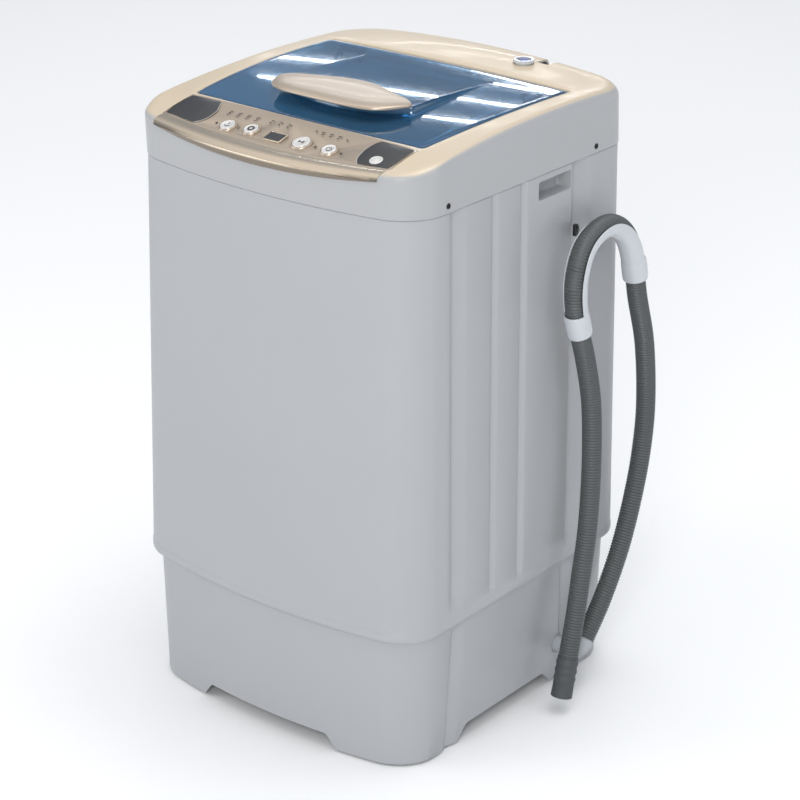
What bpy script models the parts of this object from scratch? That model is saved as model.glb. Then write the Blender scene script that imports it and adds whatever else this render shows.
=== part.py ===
"""A compact top load washing machine: cabinet, plinth, top cover with a clear lid, suspended tub and hose.

Metres, +Z up.  The origin is at floor level under the middle of the cabinet; the front faces -Y and the
drain hose runs on the +X side.
"""
import math

import bmesh
import bpy
from mathutils import Vector

THIN_CASINGS = ("cabinet", "plinth", "top_cover")
GAP = 0.0003                      # air between pieces that rest on one another

# Casing
CABINET_BOTTOM = 0.169
CABINET_TOP = 0.669
BOTTOM_HALF_WIDTH = 0.2145
TOP_HALF_WIDTH = 0.2075
BOTTOM_HALF_DEPTH = 0.22225
TOP_HALF_DEPTH = 0.21435
FRONT_BOW = 0.026                 # how far the front's middle stands ahead of its corners
CORNER_RADIUS = 0.046
WALL = 0.003
BASE_FLANGE = 0.020
BRACKET_BASE = 0.612
BRACKET_THICKNESS = 0.005

# Fittings on the cabinet: side screws as (side, y), cable gland and rear cover as x or half width and z
SCREW_PLACES = [(sign_x, y) for sign_x in (1, -1) for y in (-0.137, 0.137)]
GLAND_AT = (-0.140, 0.600)
REAR_COVER_HALF_WIDTH = 0.125
REAR_COVER_Z = (0.225, 0.520)

# Side grooves: front edge y, rear edge y, depth, height where the groove starts, height of full depth
GROOVES = (
    (-0.1306, -0.1040, 0.008, 0.190, 0.207),
    (-0.0580, -0.0465, 0.005, 0.187, 0.190),
    (-0.0050, 0.0070, 0.005, 0.187, 0.190),
    (0.0930, 0.1290, 0.009, 0.190, 0.207),
)
GROOVE_STEEP_RUN = 0.0015

# Hand-holds in the cabinet sides
HOLD_Y = (0.028, 0.090)
HOLD_Z = (0.640, 0.662)
HOLD_DEPTH = 0.020
HOLD_WALL = 0.002

# Plinth
PLINTH_BOTTOM = 0.0025
PLINTH_TOP = CABINET_BOTTOM - GAP
FLOOR_HALF_WIDTH = 0.2032
FLOOR_HALF_DEPTH = 0.2120
NECK_HALF_WIDTH = 0.2065
NECK_HALF_DEPTH = 0.2143
PLINTH_GROOVE_TOP = 0.159
SOLE_THICKNESS = 0.004
NOTCH_HEIGHT = 0.018
PAD_RADIUS = 0.015
PAD_X = 0.165
PAD_FRONT_Y = -0.153
PAD_REAR_Y = 0.172

# Top cover
COVER_BASE = CABINET_TOP + GAP
COVER_SKIN = 0.0025
SIDE_EDGE_DROP = 0.013
FRONT_EDGE_DROP = 0.004
LID_GAP = 0.0015
MOUTH_RADIUS = 0.118
MOUTH_BOTTOM = 0.664
COUNTS = (4, 3, 6, 3, 4)          # points along half front, corner, side, corner, half rear

# Lid
LID_HALF_WIDTH = 0.170
LID_FRONT = -0.130
LID_REAR = 0.126
LID_THICKNESS = 0.0025
LID_RIM = 0.0056                  # depth of the lid's edge
LID_REAR_FALL = 0.0025            # how far the rear edge turns down, so that it clears the cover as it opens
LID_REAR_GAP = 0.0027
OPENING_CORNER = 0.005
LEDGE_DROP = (0.0061, 0.0180)     # depth of the rest under the lid: at its sides, and at its rear edge
PLATFORM_HALF_WIDTH = 0.095
PLATFORM_FRONT = -0.085
PLATFORM_REAR = 0.090
PLATFORM_HEIGHT = 0.011
HINGE_Y = 0.119
HINGE_Z = 0.7335
PIN_RADIUS = 0.0020
KNUCKLE_RADIUS = 0.0048
KNUCKLE_X = (0.1260, 0.1500)
EAR_OUTLINE = (                   # the foot leans forward, clear of the lid's rear edge as it turns down
    (-0.0085, -0.0160), (-0.0016, -0.0160), (-0.0012, -0.0050), (0.0032, -0.0014), (0.0032, 0.0014),
    (0.0016, 0.0032), (-0.0016, 0.0032), (-0.0032, 0.0014), (-0.0085, -0.0060),
)

# Grip on the lid
HANDLE_EDGE = (                   # x, front edge y, rear edge y
    (0.0, -0.1065, -0.0245), (0.020, -0.1064, -0.0270), (0.040, -0.1060, -0.0335), (0.058, -0.1040, -0.0405),
    (0.072, -0.0990, -0.0450), (0.083, -0.0895, -0.0490), (0.090, -0.0760, -0.0530), (0.0935, -0.0660, -0.0580),
)

# Water inlet on the rear of the deck
INLET_AT = (0.075, 0.176)
INLET_HOLE = 0.0110
INLET_FLANGE = 0.0125

# Control panel
PANEL_HALF_WIDTH = 0.164
PANEL_REAR = -0.1335
PANEL_FRONT = -0.1965
PANEL_BOW = 0.013
PANEL_THICKNESS = 0.0014
INLAY_THICKNESS = 0.0006
BUTTON_TRAVEL = 0.0015
BUTTONS = (                       # name, x, y, radius
    ("power_button", 0.075, -0.176, 0.0085),
    ("start_button", 0.036, -0.176, 0.0103),
    ("program_button", -0.038, -0.175, 0.0085),
    ("water_level_button", -0.070, -0.178, 0.0088),
)
DISPLAY_CENTRE = (0.0, -0.178)
DISPLAY_HALF = (0.011, 0.007)
BOARD_TOP = 0.700

# Tub, basket and drive, all about the vertical axis through the origin
TUB_RADIUS = 0.1685
TUB_WALL = 0.0025
TUB_BOTTOM = 0.225
TUB_TOP = 0.628
BASKET_RADIUS = 0.150
BASKET_WALL = 0.0012
BASKET_BOTTOM = 0.262
BASKET_TOP = 0.600
RING_TOP = 0.634
SHAFT_RADIUS = 0.006
PULLEY_BOTTOM = 0.148
PULLEY_HEIGHT = 0.014
DRIVEN_GROOVE_RADIUS = 0.050
MOTOR_GROOVE_RADIUS = 0.010
RIM_HEIGHT = 0.004                # how far a pulley's rims stand above its groove
MOTOR_AT = (-0.085, -0.078)
MOTOR_RADIUS = 0.042
BELT_THICKNESS = 0.003
ROD_AT = (0.158, 0.143)
ROD_RADIUS = 0.003
LUG_Z = (0.262, 0.274)
SPRING_BASE = 0.2270
SPRING_RADIUS = 0.0085
SPRING_WIRE = 0.0012
SPRING_TURNS = 4

# Drain hose: it leaves the outlet low on the right side, climbs, passes over the hook and comes down
HOSE_RADIUS = 0.012
HOSE_SPACING = 0.022
HOSE_ROUTE = (
    (0.2360, 0.1103, 0.0625), (0.2360, 0.1469, 0.1056), (0.2360, 0.1820, 0.1640), (0.2362, 0.2083, 0.2380),
    (0.2364, 0.2200, 0.3000), (0.2366, 0.2209, 0.3543), (0.2368, 0.2114, 0.4237), (0.2370, 0.1916, 0.4865),
    (0.2370, 0.1780, 0.5420), (0.2370, 0.1600, 0.5740), (0.2370, 0.1325, 0.5920), (0.2370, 0.1035, 0.5930),
    (0.2370, 0.0770, 0.5790), (0.2370, 0.0635, 0.5500), (0.2372, 0.0620, 0.5180), (0.2385, 0.0690, 0.4860),
    (0.2410, 0.0820, 0.4420), (0.2440, 0.0925, 0.3880), (0.2470, 0.0935, 0.3300), (0.2490, 0.0910, 0.2760),
    (0.2500, 0.0860, 0.2230), (0.2510, 0.0760, 0.1730), (0.2520, 0.0660, 0.1250), (0.2520, 0.0570, 0.0850),
    (0.2520, 0.0530, 0.0680),
)
CUFF_RADIUS = 0.0134
CUFF_LENGTH = 0.050
OUTLET_RADIUS = 0.0110
OUTLET_AT = (0.0985, 0.0500)      # y and z where the outlet leaves the plinth


def clear_scene():
    for item in list(bpy.data.objects):
        bpy.data.objects.remove(item, do_unlink=True)


def paint(name, colour, roughness, metallic=0.0, alpha=1.0):
    material = bpy.data.materials.new(name)
    material.use_nodes = True
    shader = material.node_tree.nodes["Principled BSDF"]
    shader.inputs["Base Color"].default_value = (*colour, 1.0)
    shader.inputs["Roughness"].default_value = roughness
    shader.inputs["Metallic"].default_value = metallic
    shader.inputs["Alpha"].default_value = alpha
    return material


def smooth_step(value):
    value = min(1.0, max(0.0, value))
    return value * value * (3 - 2 * value)


def mix(a, b, share):
    return a + (b - a) * share


# ---------------------------------------------------------------- shapes: each is (vertices, faces)

def loft(rings, closed_loop=False):
    """Skin a row of rings of equal length; the ends are capped, or joined when the row closes on itself."""
    count = len(rings[0])
    vertices = [point for ring in rings for point in ring]
    faces = []
    spans = len(rings) if closed_loop else len(rings) - 1
    for level in range(spans):
        low = level * count
        high = ((level + 1) % len(rings)) * count
        for i in range(count):
            j = (i + 1) % count
            faces.append((low + i, low + j, high + j, high + i))
    if not closed_loop:
        faces.append(tuple(reversed(range(count))))
        top = (len(rings) - 1) * count
        faces.append(tuple(range(top, top + count)))
    return vertices, faces


def turned(profile, segments, centre=(0, 0, 0), axis="Z", hollow=False):
    """Turn (radius, height) points about an axis; a hollow profile closes on itself."""
    rings = []
    for radius, height in profile:
        ring = []
        for i in range(segments):
            angle = 2 * math.pi * (i + 0.5) / segments
            a = radius * math.cos(angle)
            b = radius * math.sin(angle)
            local = {"X": (height, a, b), "Y": (b, height, a), "Z": (a, b, height)}[axis]
            ring.append(tuple(c + d for c, d in zip(centre, local)))
        rings.append(ring)
    return loft(rings, closed_loop=hollow)


def box(low, high):
    x0, y0, z0 = low
    x1, y1, z1 = high
    floor = [(x0, y0, z0), (x1, y0, z0), (x1, y1, z0), (x0, y1, z0)]
    roof = [(x, y, z1) for x, y, _ in floor]
    return loft([floor, roof])


def prism(outline, low, high, along="Z"):
    """Extrude a flat outline; along X the outline is (y, z), along Y it is (x, z)."""
    rings = []
    for level in (low, high):
        if along == "Z":
            rings.append([(x, y, level) for x, y in outline])
        elif along == "X":
            rings.append([(level, y, z) for y, z in outline])
        else:
            rings.append([(x, level, z) for x, z in outline])
    return loft(rings)


def slab(top, bottom):
    """Close two grids of points, one above the other, into a solid."""
    columns = len(top)
    rows = len(top[0])
    size = columns * rows
    vertices = [point for grid in (top, bottom) for column in grid for point in column]
    faces = []
    for i in range(columns - 1):
        for j in range(rows - 1):
            a = i * rows + j
            b = a + rows
            faces.append((a, b, b + 1, a + 1))
            faces.append((size + a, size + a + 1, size + b + 1, size + b))
    border = [(i, 0) for i in range(columns)]
    border += [(columns - 1, j) for j in range(1, rows)]
    border += [(i, rows - 1) for i in range(columns - 2, -1, -1)]
    border += [(0, j) for j in range(rows - 2, 0, -1)]
    for (i, j), (k, m) in zip(border, border[1:] + border[:1]):
        a = i * rows + j
        b = k * rows + m
        faces.append((a, size + a, size + b, b))
    return vertices, faces


def sweep(path, section, closed=False):
    """Carry a section, given as (across, outward) offsets, along a path that lies close to a plane of equal x."""
    rings = []
    for i, point in enumerate(path):
        ahead = path[(i + 1) % len(path)] if closed or i < len(path) - 1 else path[i]
        behind = path[i - 1] if closed or i > 0 else path[0]
        along = (Vector(ahead) - Vector(behind)).normalized()
        outward = along.cross(Vector((1, 0, 0))).normalized()
        across = outward.cross(along)
        rings.append([tuple(Vector(point) + across * a + outward * b) for a, b in section])
    return loft(rings, closed_loop=closed)


def circle(radius, count, centre=(0, 0), start=0.0):
    angles = [start + 2 * math.pi * i / count for i in range(count)]
    return [(centre[0] + radius * math.cos(a), centre[1] + radius * math.sin(a)) for a in angles]


# ---------------------------------------------------------------- objects

def build_mesh(name, shapes, origin):
    vertices = []
    faces = []
    for points, polygons in shapes:
        start = len(vertices)
        vertices += [tuple(Vector(p) - Vector(origin)) for p in points]
        faces += [tuple(start + i for i in polygon) for polygon in polygons]
    mesh = bpy.data.meshes.new(name)
    mesh.from_pydata(vertices, [], faces)
    shell = bmesh.new()
    shell.from_mesh(mesh)
    bmesh.ops.recalc_face_normals(shell, faces=shell.faces)
    if shell.calc_volume(signed=True) < 0:
        bmesh.ops.reverse_faces(shell, faces=shell.faces)
    shell.to_mesh(mesh)
    shell.free()
    return mesh


def piece(name, shape, material, origin=(0, 0, 0)):
    """Make one named solid, with its origin where its joint or its centre lies."""
    mesh = build_mesh(name, [shape], origin)
    mesh.materials.append(material)
    mesh.shade_smooth()
    mesh.set_sharp_from_angle(angle=math.radians(35))
    item = bpy.data.objects.new(name, mesh)
    item.location = origin
    bpy.context.collection.objects.link(item)
    return item


def combine(item, label, shapes, operation="DIFFERENCE"):
    """Cut separate shapes out of a piece, or unite them with it; thin casings need the MANIFOLD solver."""
    tool = bpy.data.objects.new(f"{item.name}_{label}", build_mesh(label, shapes, (0, 0, 0)))
    tool.hide_render = True
    tool.display_type = "WIRE"
    bpy.context.collection.objects.link(tool)
    step = item.modifiers.new(label, "BOOLEAN")
    step.operation = operation
    step.solver = "MANIFOLD" if item.name in THIN_CASINGS else "EXACT"
    step.object = tool


def both_sides(shape):
    """Return a shape and its mirror image across the middle plane."""
    vertices, faces = shape
    mirrored = [(-x, y, z) for x, y, z in vertices]
    return [shape, (mirrored, [tuple(reversed(f)) for f in faces])]


# ---------------------------------------------------------------- outlines and surfaces

def half_outline(half_width, front, rear, corner, front_bow, rear_bow, side):
    """Half of a rounded rectangle with bowed ends, from the front's middle round +X to the rear's middle."""
    front_steps, corner_steps, side_steps, _, rear_steps = COUNTS
    inner = half_width - corner
    points = [(inner * i / front_steps, front) for i in range(front_steps)]
    turns = [math.pi / 2 * i / corner_steps for i in range(corner_steps + 1)]
    points += [(inner + corner * math.sin(t), front + corner - corner * math.cos(t)) for t in turns]
    if side is None:
        ends = (front + corner, rear - corner)
        points += [(half_width, mix(*ends, i / side_steps)) for i in range(1, side_steps)]
    else:
        points += [(half_width - inset, None, y) for y, inset in side]
    points += [(inner + corner * math.cos(t), rear - corner + corner * math.sin(t)) for t in turns]
    points += [(inner * i / rear_steps, rear) for i in range(rear_steps - 1, -1, -1)]
    bowed = []
    for point in points:
        if len(point) == 3:
            bowed.append((point[0], point[2]))
            continue
        x, y = point
        reach = (x / half_width) ** 2
        y += front_bow * reach * max(0.0, y / front)
        y -= rear_bow * reach * max(0.0, y / rear)
        bowed.append((x, y))
    return bowed


def outline(half_width, front, rear, corner, front_bow=FRONT_BOW, rear_bow=0.0, side=None):
    right = half_outline(half_width, front, rear, corner, front_bow, rear_bow, side)
    left = [(-x, y) for x, y in reversed(right[1:-1])]
    return right + left


def lid_outline(grow, rear_grow=None, corner=0.008):
    """The lid's plan: wider at the rear than at the front, with softly bowed edges."""
    rear = LID_REAR + (grow if rear_grow is None else rear_grow)
    plan = outline(LID_HALF_WIDTH + grow, LID_FRONT - grow, rear, corner, 0.004, 0.001)
    result = []
    for x, y in plan:
        share = y / LID_REAR
        result.append((x * (1 + 0.033 * share + 0.018 * (1 - share * share)), y))
    return result


def deck_height(x, y):
    """The crowned top surface that the cover, the panel and the lid share."""
    ridge = 0.740 - 0.281 * (y - 0.06) ** 2 - 1.2 * max(0.0, -0.12 - y) ** 2
    crown = 0.0025 + 0.008 * smooth_step((y - 0.11) / 0.10)
    return ridge + crown * (1 - (x / 0.2) ** 2)


def platform_height(x, y):
    """The raised part of the lid, highest at its front wall and level with the lid at its rear."""
    span = PLATFORM_REAR - PLATFORM_FRONT
    return deck_height(x, y) + PLATFORM_HEIGHT * max(0.0, (PLATFORM_REAR - y) / span)


def platform_front(x):
    share = min(1.0, abs(x) / PLATFORM_HALF_WIDTH)
    return PLATFORM_FRONT + 0.030 * share * share


def panel_front(x):
    return PANEL_FRONT + PANEL_BOW * (x / PANEL_HALF_WIDTH) ** 2


def casing_size(z):
    share = (z - CABINET_BOTTOM) / (CABINET_TOP - CABINET_BOTTOM)
    return mix(BOTTOM_HALF_WIDTH, TOP_HALF_WIDTH, share), mix(BOTTOM_HALF_DEPTH, TOP_HALF_DEPTH, share)


def casing_ring(z, inset, height=None):
    """The cabinet's outline at a height, moved inward by an inset, with its grooves at that height."""
    half_width, half_depth = casing_size(z)
    side = []
    for front, rear, depth, start, full in GROOVES:
        groove = depth * min(1.0, max(0.0, (z - start) / (full - start)))
        side.append((front - inset, 0.0))
        side.append((front - inset + GROOVE_STEEP_RUN, groove))
        side.append((rear, 0.0))
    corner = CORNER_RADIUS - inset
    plan = outline(half_width - inset, inset - half_depth, half_depth - inset, corner, side=side)
    return [(x, y, z if height is None else height) for x, y in plan]


def plinth_ring(z, inset):
    share = (z - PLINTH_BOTTOM) / (PLINTH_TOP - PLINTH_BOTTOM)
    half_width = mix(FLOOR_HALF_WIDTH, NECK_HALF_WIDTH, share)
    half_depth = mix(FLOOR_HALF_DEPTH, NECK_HALF_DEPTH, share)
    depth = 0.005 if z <= PLINTH_GROOVE_TOP else 0.0
    lean = mix(0.009, 0.0, share)
    side = []
    for front, rear in ((-0.118 - lean, -0.094 - lean), (0.094 + lean, 0.118 + lean)):
        side += [(front, 0.0), (front + 0.002, depth), (rear, 0.0)]
    if inset > CORNER_RADIUS / 2:
        side = [(y * 0.8, across) for y, across in side]
    plan = outline(half_width - inset, inset - half_depth, half_depth - inset, CORNER_RADIUS - inset, side=side)
    return [(x, y, z) for x, y in plan]


# ---------------------------------------------------------------- casing

def corner_plate(ring, reach, low, high):
    """The plates that fill the four corners of a ring, outside a line at a given reach on each diagonal."""
    plates = []
    for sign_x in (1, -1):
        for sign_y in (1, -1):
            direction = Vector((sign_x * ROD_AT[0], sign_y * ROD_AT[1])).normalized()
            points = [Vector(p[:2]) for p in ring]
            start = next(i for i, p in enumerate(points)
                         if p.dot(direction) > reach >= points[i - 1].dot(direction))
            points = points[start - 1:] + points[:start - 1] if start else points[-1:] + points[:-1]
            chosen = []
            for a, b in zip(points, points[1:] + points[:1]):
                from_a = a.dot(direction) - reach
                from_b = b.dot(direction) - reach
                if from_a > 0:
                    chosen.append(tuple(a))
                if (from_a > 0) != (from_b > 0):
                    chosen.append(tuple(a.lerp(b, from_a / (from_a - from_b))))
            plates.append(prism(chosen, low, high))
    return plates


def screw_hole(sign_x, y):
    """A stepped cutter for one of the screws that hold the top cover's sides."""
    profile = [(0.0021, 0.190), (0.0021, 0.2062), (0.0037, 0.2062), (0.0037, 0.215)]
    return turned([(r, sign_x * x) for r, x in profile], 8, (0, y, 0.678), "X")


def make_cabinet(material):
    heights = (CABINET_BOTTOM, 0.1870, 0.1900, 0.2070, CABINET_TOP)
    outer = [casing_ring(z, 0.0) for z in heights]
    inner = [casing_ring(z, WALL) for z in reversed(heights[1:])]
    shelf = casing_ring(CABINET_BOTTOM + WALL, WALL)
    lip = [[(x, y, z) for x, y, _ in casing_ring(CABINET_BOTTOM, BASE_FLANGE)]
           for z in (CABINET_BOTTOM + WALL, CABINET_BOTTOM)]
    cabinet = piece("cabinet", loft(outer + inner + [shelf] + lip, closed_loop=True), material)
    middle = casing_ring(BRACKET_BASE, WALL / 2)
    plates = corner_plate(middle, 0.205, BRACKET_BASE, BRACKET_BASE + BRACKET_THICKNESS)
    combine(cabinet, "rod_brackets", plates, "UNION")
    y0, y1 = HOLD_Y
    z0, z1 = HOLD_Z
    shell = box((TOP_HALF_WIDTH - HOLD_DEPTH - HOLD_WALL, y0 - HOLD_WALL, z0 - HOLD_WALL),
                (TOP_HALF_WIDTH - WALL / 2, y1 + HOLD_WALL, z1 + HOLD_WALL))
    pocket = box((TOP_HALF_WIDTH - HOLD_DEPTH, y0, z0), (TOP_HALF_WIDTH + 0.01, y1, z1))
    combine(cabinet, "hold_shells", both_sides(shell), "UNION")
    tabs = []
    for _, y in SCREW_PLACES[:2]:
        tabs += both_sides(box((0.2008, y - 0.009, 0.650), (0.2049, y + 0.009, 0.688)))
    combine(cabinet, "screw_tabs", tabs, "UNION")
    combine(cabinet, "hold_pockets", both_sides(pocket))
    holes = [screw_hole(*place) for place in SCREW_PLACES]
    for sign_x in (1, -1):
        for sign_y in (1, -1):
            centre = (sign_x * ROD_AT[0], sign_y * ROD_AT[1], 0)
            holes.append(turned([(0.0045, 0.605), (0.0045, 0.625)], 8, centre))
    holes.append(turned([(0.0093, 0.19), (0.0093, 0.24)], 12, (GLAND_AT[0], 0, GLAND_AT[1]), "Y"))
    holes.append(rear_cover_block(GAP, -0.02, 0.02))
    combine(cabinet, "holes", holes)


def rear_cover_block(grow, inner, outer):
    """A slab that follows the slope of the cabinet's rear wall."""
    rings = []
    for z in (REAR_COVER_Z[0] - grow, REAR_COVER_Z[1] + grow):
        wall = casing_size(z)[1]
        width = REAR_COVER_HALF_WIDTH + grow
        rings.append([(-width, wall + inner, z), (width, wall + inner, z),
                      (width, wall + outer, z), (-width, wall + outer, z)])
    return loft(rings)


def make_plinth(material):
    heights = (PLINTH_BOTTOM, PLINTH_GROOVE_TOP, PLINTH_GROOVE_TOP + 0.004, PLINTH_TOP)
    outer = [plinth_ring(z, 0.0) for z in heights]
    flange = [plinth_ring(z, 0.030) for z in (PLINTH_TOP, PLINTH_TOP - WALL)]
    inner = [plinth_ring(z, WALL) for z in (PLINTH_TOP - WALL, PLINTH_GROOVE_TOP, PLINTH_BOTTOM)]
    plinth = piece("plinth", loft(outer + flange + inner, closed_loop=True), material)
    middle = plinth_ring(PLINTH_BOTTOM, WALL / 2)
    soles = corner_plate(middle, 0.192, PLINTH_BOTTOM + 0.0004, PLINTH_BOTTOM + SOLE_THICKNESS)
    combine(plinth, "soles", soles, "UNION")
    top = PLINTH_BOTTOM + NOTCH_HEIGHT
    front_notch = [(-0.107, -0.01), (0.107, -0.01), (0.107, PLINTH_BOTTOM), (0.090, top), (-0.090, top),
                   (-0.107, PLINTH_BOTTOM)]
    side_notch = [(-0.105, -0.01), (0.090, -0.01), (0.090, PLINTH_BOTTOM), (0.076, top), (-0.075, top),
                  (-0.105, PLINTH_BOTTOM)]
    combine(plinth, "front_notches", [prism(front_notch, -0.3, 0.3, "Y")])
    combine(plinth, "side_notches", [prism(side_notch, -0.3, 0.3, "X")])
    y, z = OUTLET_AT
    combine(plinth, "outlet_hole", [turned([(OUTLET_RADIUS + 0.0006, 0.18), (OUTLET_RADIUS + 0.0006, 0.22)],
                                           16, (0, y, z), "X")])


def make_foot_pads(material):
    for i, (x, y) in enumerate(((-PAD_X, PAD_FRONT_Y), (PAD_X, PAD_FRONT_Y), (PAD_X, PAD_REAR_Y),
                                (-PAD_X, PAD_REAR_Y)), 1):
        shape = turned([(PAD_RADIUS - 0.001, 0.0), (PAD_RADIUS, 0.0008), (PAD_RADIUS, PLINTH_BOTTOM)], 12, (x, y, 0))
        piece(f"foot_pad_{i}", shape, material)


def make_casing_fittings(white, black):
    piece("rear_cover", rear_cover_block(0.0, -WALL, -0.0002), white)
    wall = casing_size(GLAND_AT[1])[1]
    profile = [(0.0088, wall - 0.010), (0.0088, wall + GAP), (0.0115, wall + GAP), (0.0100, wall + 0.0035)]
    piece("power_gland", turned(profile, 12, (GLAND_AT[0], 0, GLAND_AT[1]), "Y"), black)
    side = casing_size(0.589)[0]
    clip = [(0.0935, 0.582), (0.0985, 0.582), (0.1010, 0.589), (0.0985, 0.596), (0.0935, 0.596)]
    piece("hose_clip", prism(clip, side + GAP, side + 0.0050, "X"), black)
    for i, (sign_x, y) in enumerate(SCREW_PLACES, 1):
        profile = [(0.0017, 0.1985), (0.0017, 0.2064), (0.0033, 0.2064), (0.0028, 0.2075)]
        shape = turned([(r, sign_x * x) for r, x in profile], 8, (0, y, 0.678), "X")
        piece(f"cover_screw_{i}", shape, black)


# ---------------------------------------------------------------- top cover and its fittings

def cover_outline(half_width, front, rear, rear_bow):
    return outline(half_width, front, rear, CORNER_RADIUS, FRONT_BOW, rear_bow)


def with_height(plan, height):
    return [(x, y, height(x, y)) for x, y in plan]


def ledge_drop(y):
    """The rest under the lid is deeper at the rear, where the lid's edge turns down as it opens."""
    return mix(*LEDGE_DROP, smooth_step((y - 0.085) / 0.015))


def on_circle(radius, plan, height):
    result = []
    for x, y in plan:
        angle = math.atan2(y, x)
        result.append((radius * math.cos(angle), radius * math.sin(angle), height))
    return result


def cover_wall_rings(skin):
    """The outside of the cover from its seam up to the edge of the deck, or its inside when skin is set."""
    edge = cover_outline(0.1975 - 0.4 * skin, -0.199 + 0.4 * skin, 0.2085 - 0.4 * skin, 0.006)
    shoulder = cover_outline(0.2050 - skin, -0.2118 + skin, 0.2142 - skin, 0.006)
    wall = cover_outline(0.2077 - skin, -0.2162 + skin, 0.2165 - skin, 0.006)
    seam = cover_outline(0.2078 - skin, -0.2146 + skin, 0.2146 - skin, 0.0)
    rims = [deck_height(x, y) - skin for x, y in edge]
    drops = [mix(SIDE_EDGE_DROP, FRONT_EDGE_DROP, smooth_step((-y - 0.15) / 0.03)) for x, y in edge]
    return [
        [(x, y, COVER_BASE) for x, y in seam],
        [(x, y, rim - drop) for (x, y), rim, drop in zip(wall, rims, drops)],
        [(x, y, rim - 0.3 * drop) for (x, y), rim, drop in zip(shoulder, rims, drops)],
        [(x, y, rim) for (x, y), rim in zip(edge, rims)],
    ]


def between(edge, opening, skin):
    """The deck's points halfway from its edge to the lid's opening."""
    plan = [((a[0] + b[0]) / 2, (a[1] + b[1]) / 2) for a, b in zip(edge, opening)]
    return with_height(plan, lambda x, y: deck_height(x, y) - skin)


def make_top_cover(material):
    opening = lid_outline(LID_GAP, LID_REAR_GAP, OPENING_CORNER)
    ledge = lid_outline(-0.010, -0.012)
    under_opening = lid_outline(LID_GAP + COVER_SKIN, LID_REAR_GAP + COVER_SKIN, OPENING_CORNER + COVER_SKIN)
    under_ledge = lid_outline(-0.010 + COVER_SKIN, -0.012 + COVER_SKIN)
    rings = cover_wall_rings(0.0)
    rings.append(between(rings[-1], opening, 0.0))
    rings.append(with_height(opening, deck_height))
    rings.append(with_height(opening, lambda x, y: deck_height(x, y) - ledge_drop(y)))
    rings.append(with_height(ledge, lambda x, y: deck_height(x, y) - ledge_drop(y)))
    rings.append(on_circle(MOUTH_RADIUS + 0.003, ledge, 0.694))
    rings.append(on_circle(MOUTH_RADIUS, ledge, MOUTH_BOTTOM))
    rings.append(on_circle(MOUTH_RADIUS + COVER_SKIN, ledge, MOUTH_BOTTOM))
    rings.append(on_circle(MOUTH_RADIUS + 0.003 + COVER_SKIN, ledge, 0.694 - 0.001))
    rings.append(with_height(under_ledge, lambda x, y: deck_height(x, y) - ledge_drop(y) - COVER_SKIN))
    rings.append(with_height(under_opening, lambda x, y: deck_height(x, y) - ledge_drop(y) - COVER_SKIN))
    rings.append(with_height(under_opening, lambda x, y: deck_height(x, y) - COVER_SKIN))
    inside = cover_wall_rings(COVER_SKIN)
    rings.append(between(inside[-1], under_opening, COVER_SKIN))
    rings += reversed(inside)
    cover = piece("top_cover", loft(rings, closed_loop=True), material)
    ear = [(HINGE_Y + across, HINGE_Z + up) for across, up in EAR_OUTLINE]
    ears = []
    for x0, x1 in ((KNUCKLE_X[0] - 0.0065, KNUCKLE_X[0] - 0.0005), (KNUCKLE_X[1] + 0.0005, KNUCKLE_X[1] + 0.0065)):
        ears += both_sides(prism(ear, x0, x1, "X"))
    combine(cover, "hinge_ears", ears, "UNION")
    notch_x0, notch_x1 = 0.084, 0.100
    block = [(0.186, 0.719), (0.2152, 0.719), (0.2152, 0.7285), (0.2120, 0.7372), (0.2085, 0.7408), (0.186, 0.7408)]
    combine(cover, "notch_block", [prism(block, notch_x0 - 0.003, notch_x1 + 0.003, "X")], "UNION")
    pin_holes = both_sides(turned([(0.0024, KNUCKLE_X[0] - 0.012), (0.0024, KNUCKLE_X[1] + 0.012)], 8,
                                  (0, HINGE_Y, HINGE_Z), "X"))
    cuts = pin_holes + [screw_hole(*place) for place in SCREW_PLACES]
    cuts.append(panel_solid(GAP, 0.02, -PANEL_THICKNESS - GAP))
    cuts.append(turned([(INLET_HOLE, 0.70), (INLET_HOLE, 0.78)], 16, (*INLET_AT, 0)))
    cuts.append(box((notch_x0, 0.1895, 0.7220), (notch_x1, 0.23, 0.78)))
    combine(cover, "cuts", cuts)
    combine(cover, "panel_holes", panel_openings())


def panel_solid(grow, above, below):
    """A plate that lies on the front of the deck, between its bowed front edge and the lid."""
    top = []
    bottom = []
    for i in range(9):
        x = mix(-PANEL_HALF_WIDTH - grow, PANEL_HALF_WIDTH + grow, i / 8)
        ys = [mix(panel_front(x) - grow, PANEL_REAR + grow, share) for share in (0.0, 0.5, 1.0)]
        top.append([(x, y, deck_height(x, y) + above) for y in ys])
        bottom.append([(x, y, deck_height(x, y) + below) for y in ys])
    return slab(top, bottom)


def panel_openings():
    shapes = [turned([(r + 0.0008, 0.69), (r + 0.0008, 0.76)], 12, (x, y, 0)) for _, x, y, r in BUTTONS]
    half_x, half_y = DISPLAY_HALF
    x, y = DISPLAY_CENTRE
    shapes.append(box((x - half_x - GAP, y - half_y - GAP, 0.69), (x + half_x + GAP, y + half_y + GAP, 0.76)))
    return shapes


def inlay(sign):
    """A dark corner plate of the control panel, bounded inside by a round edge."""
    rows = ((-0.1365, 0.115), (-0.147, 0.110), (-0.160, 0.1065), (-0.171, 0.107), (-0.180, 0.112))
    top = []
    bottom = []
    for y, inner in rows:
        outer = 0.161
        xs = [mix(inner, outer, i / 4) for i in range(5)]
        ys = [max(y, panel_front(x) + 0.0035) for x in xs]
        top.append([(sign * x, v, deck_height(x, v) + INLAY_THICKNESS + 2 * GAP) for x, v in zip(xs, ys)])
        bottom.append([(sign * x, v, deck_height(x, v) + 1.2 * GAP) for x, v in zip(xs, ys)])
    return slab(top, bottom)


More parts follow.
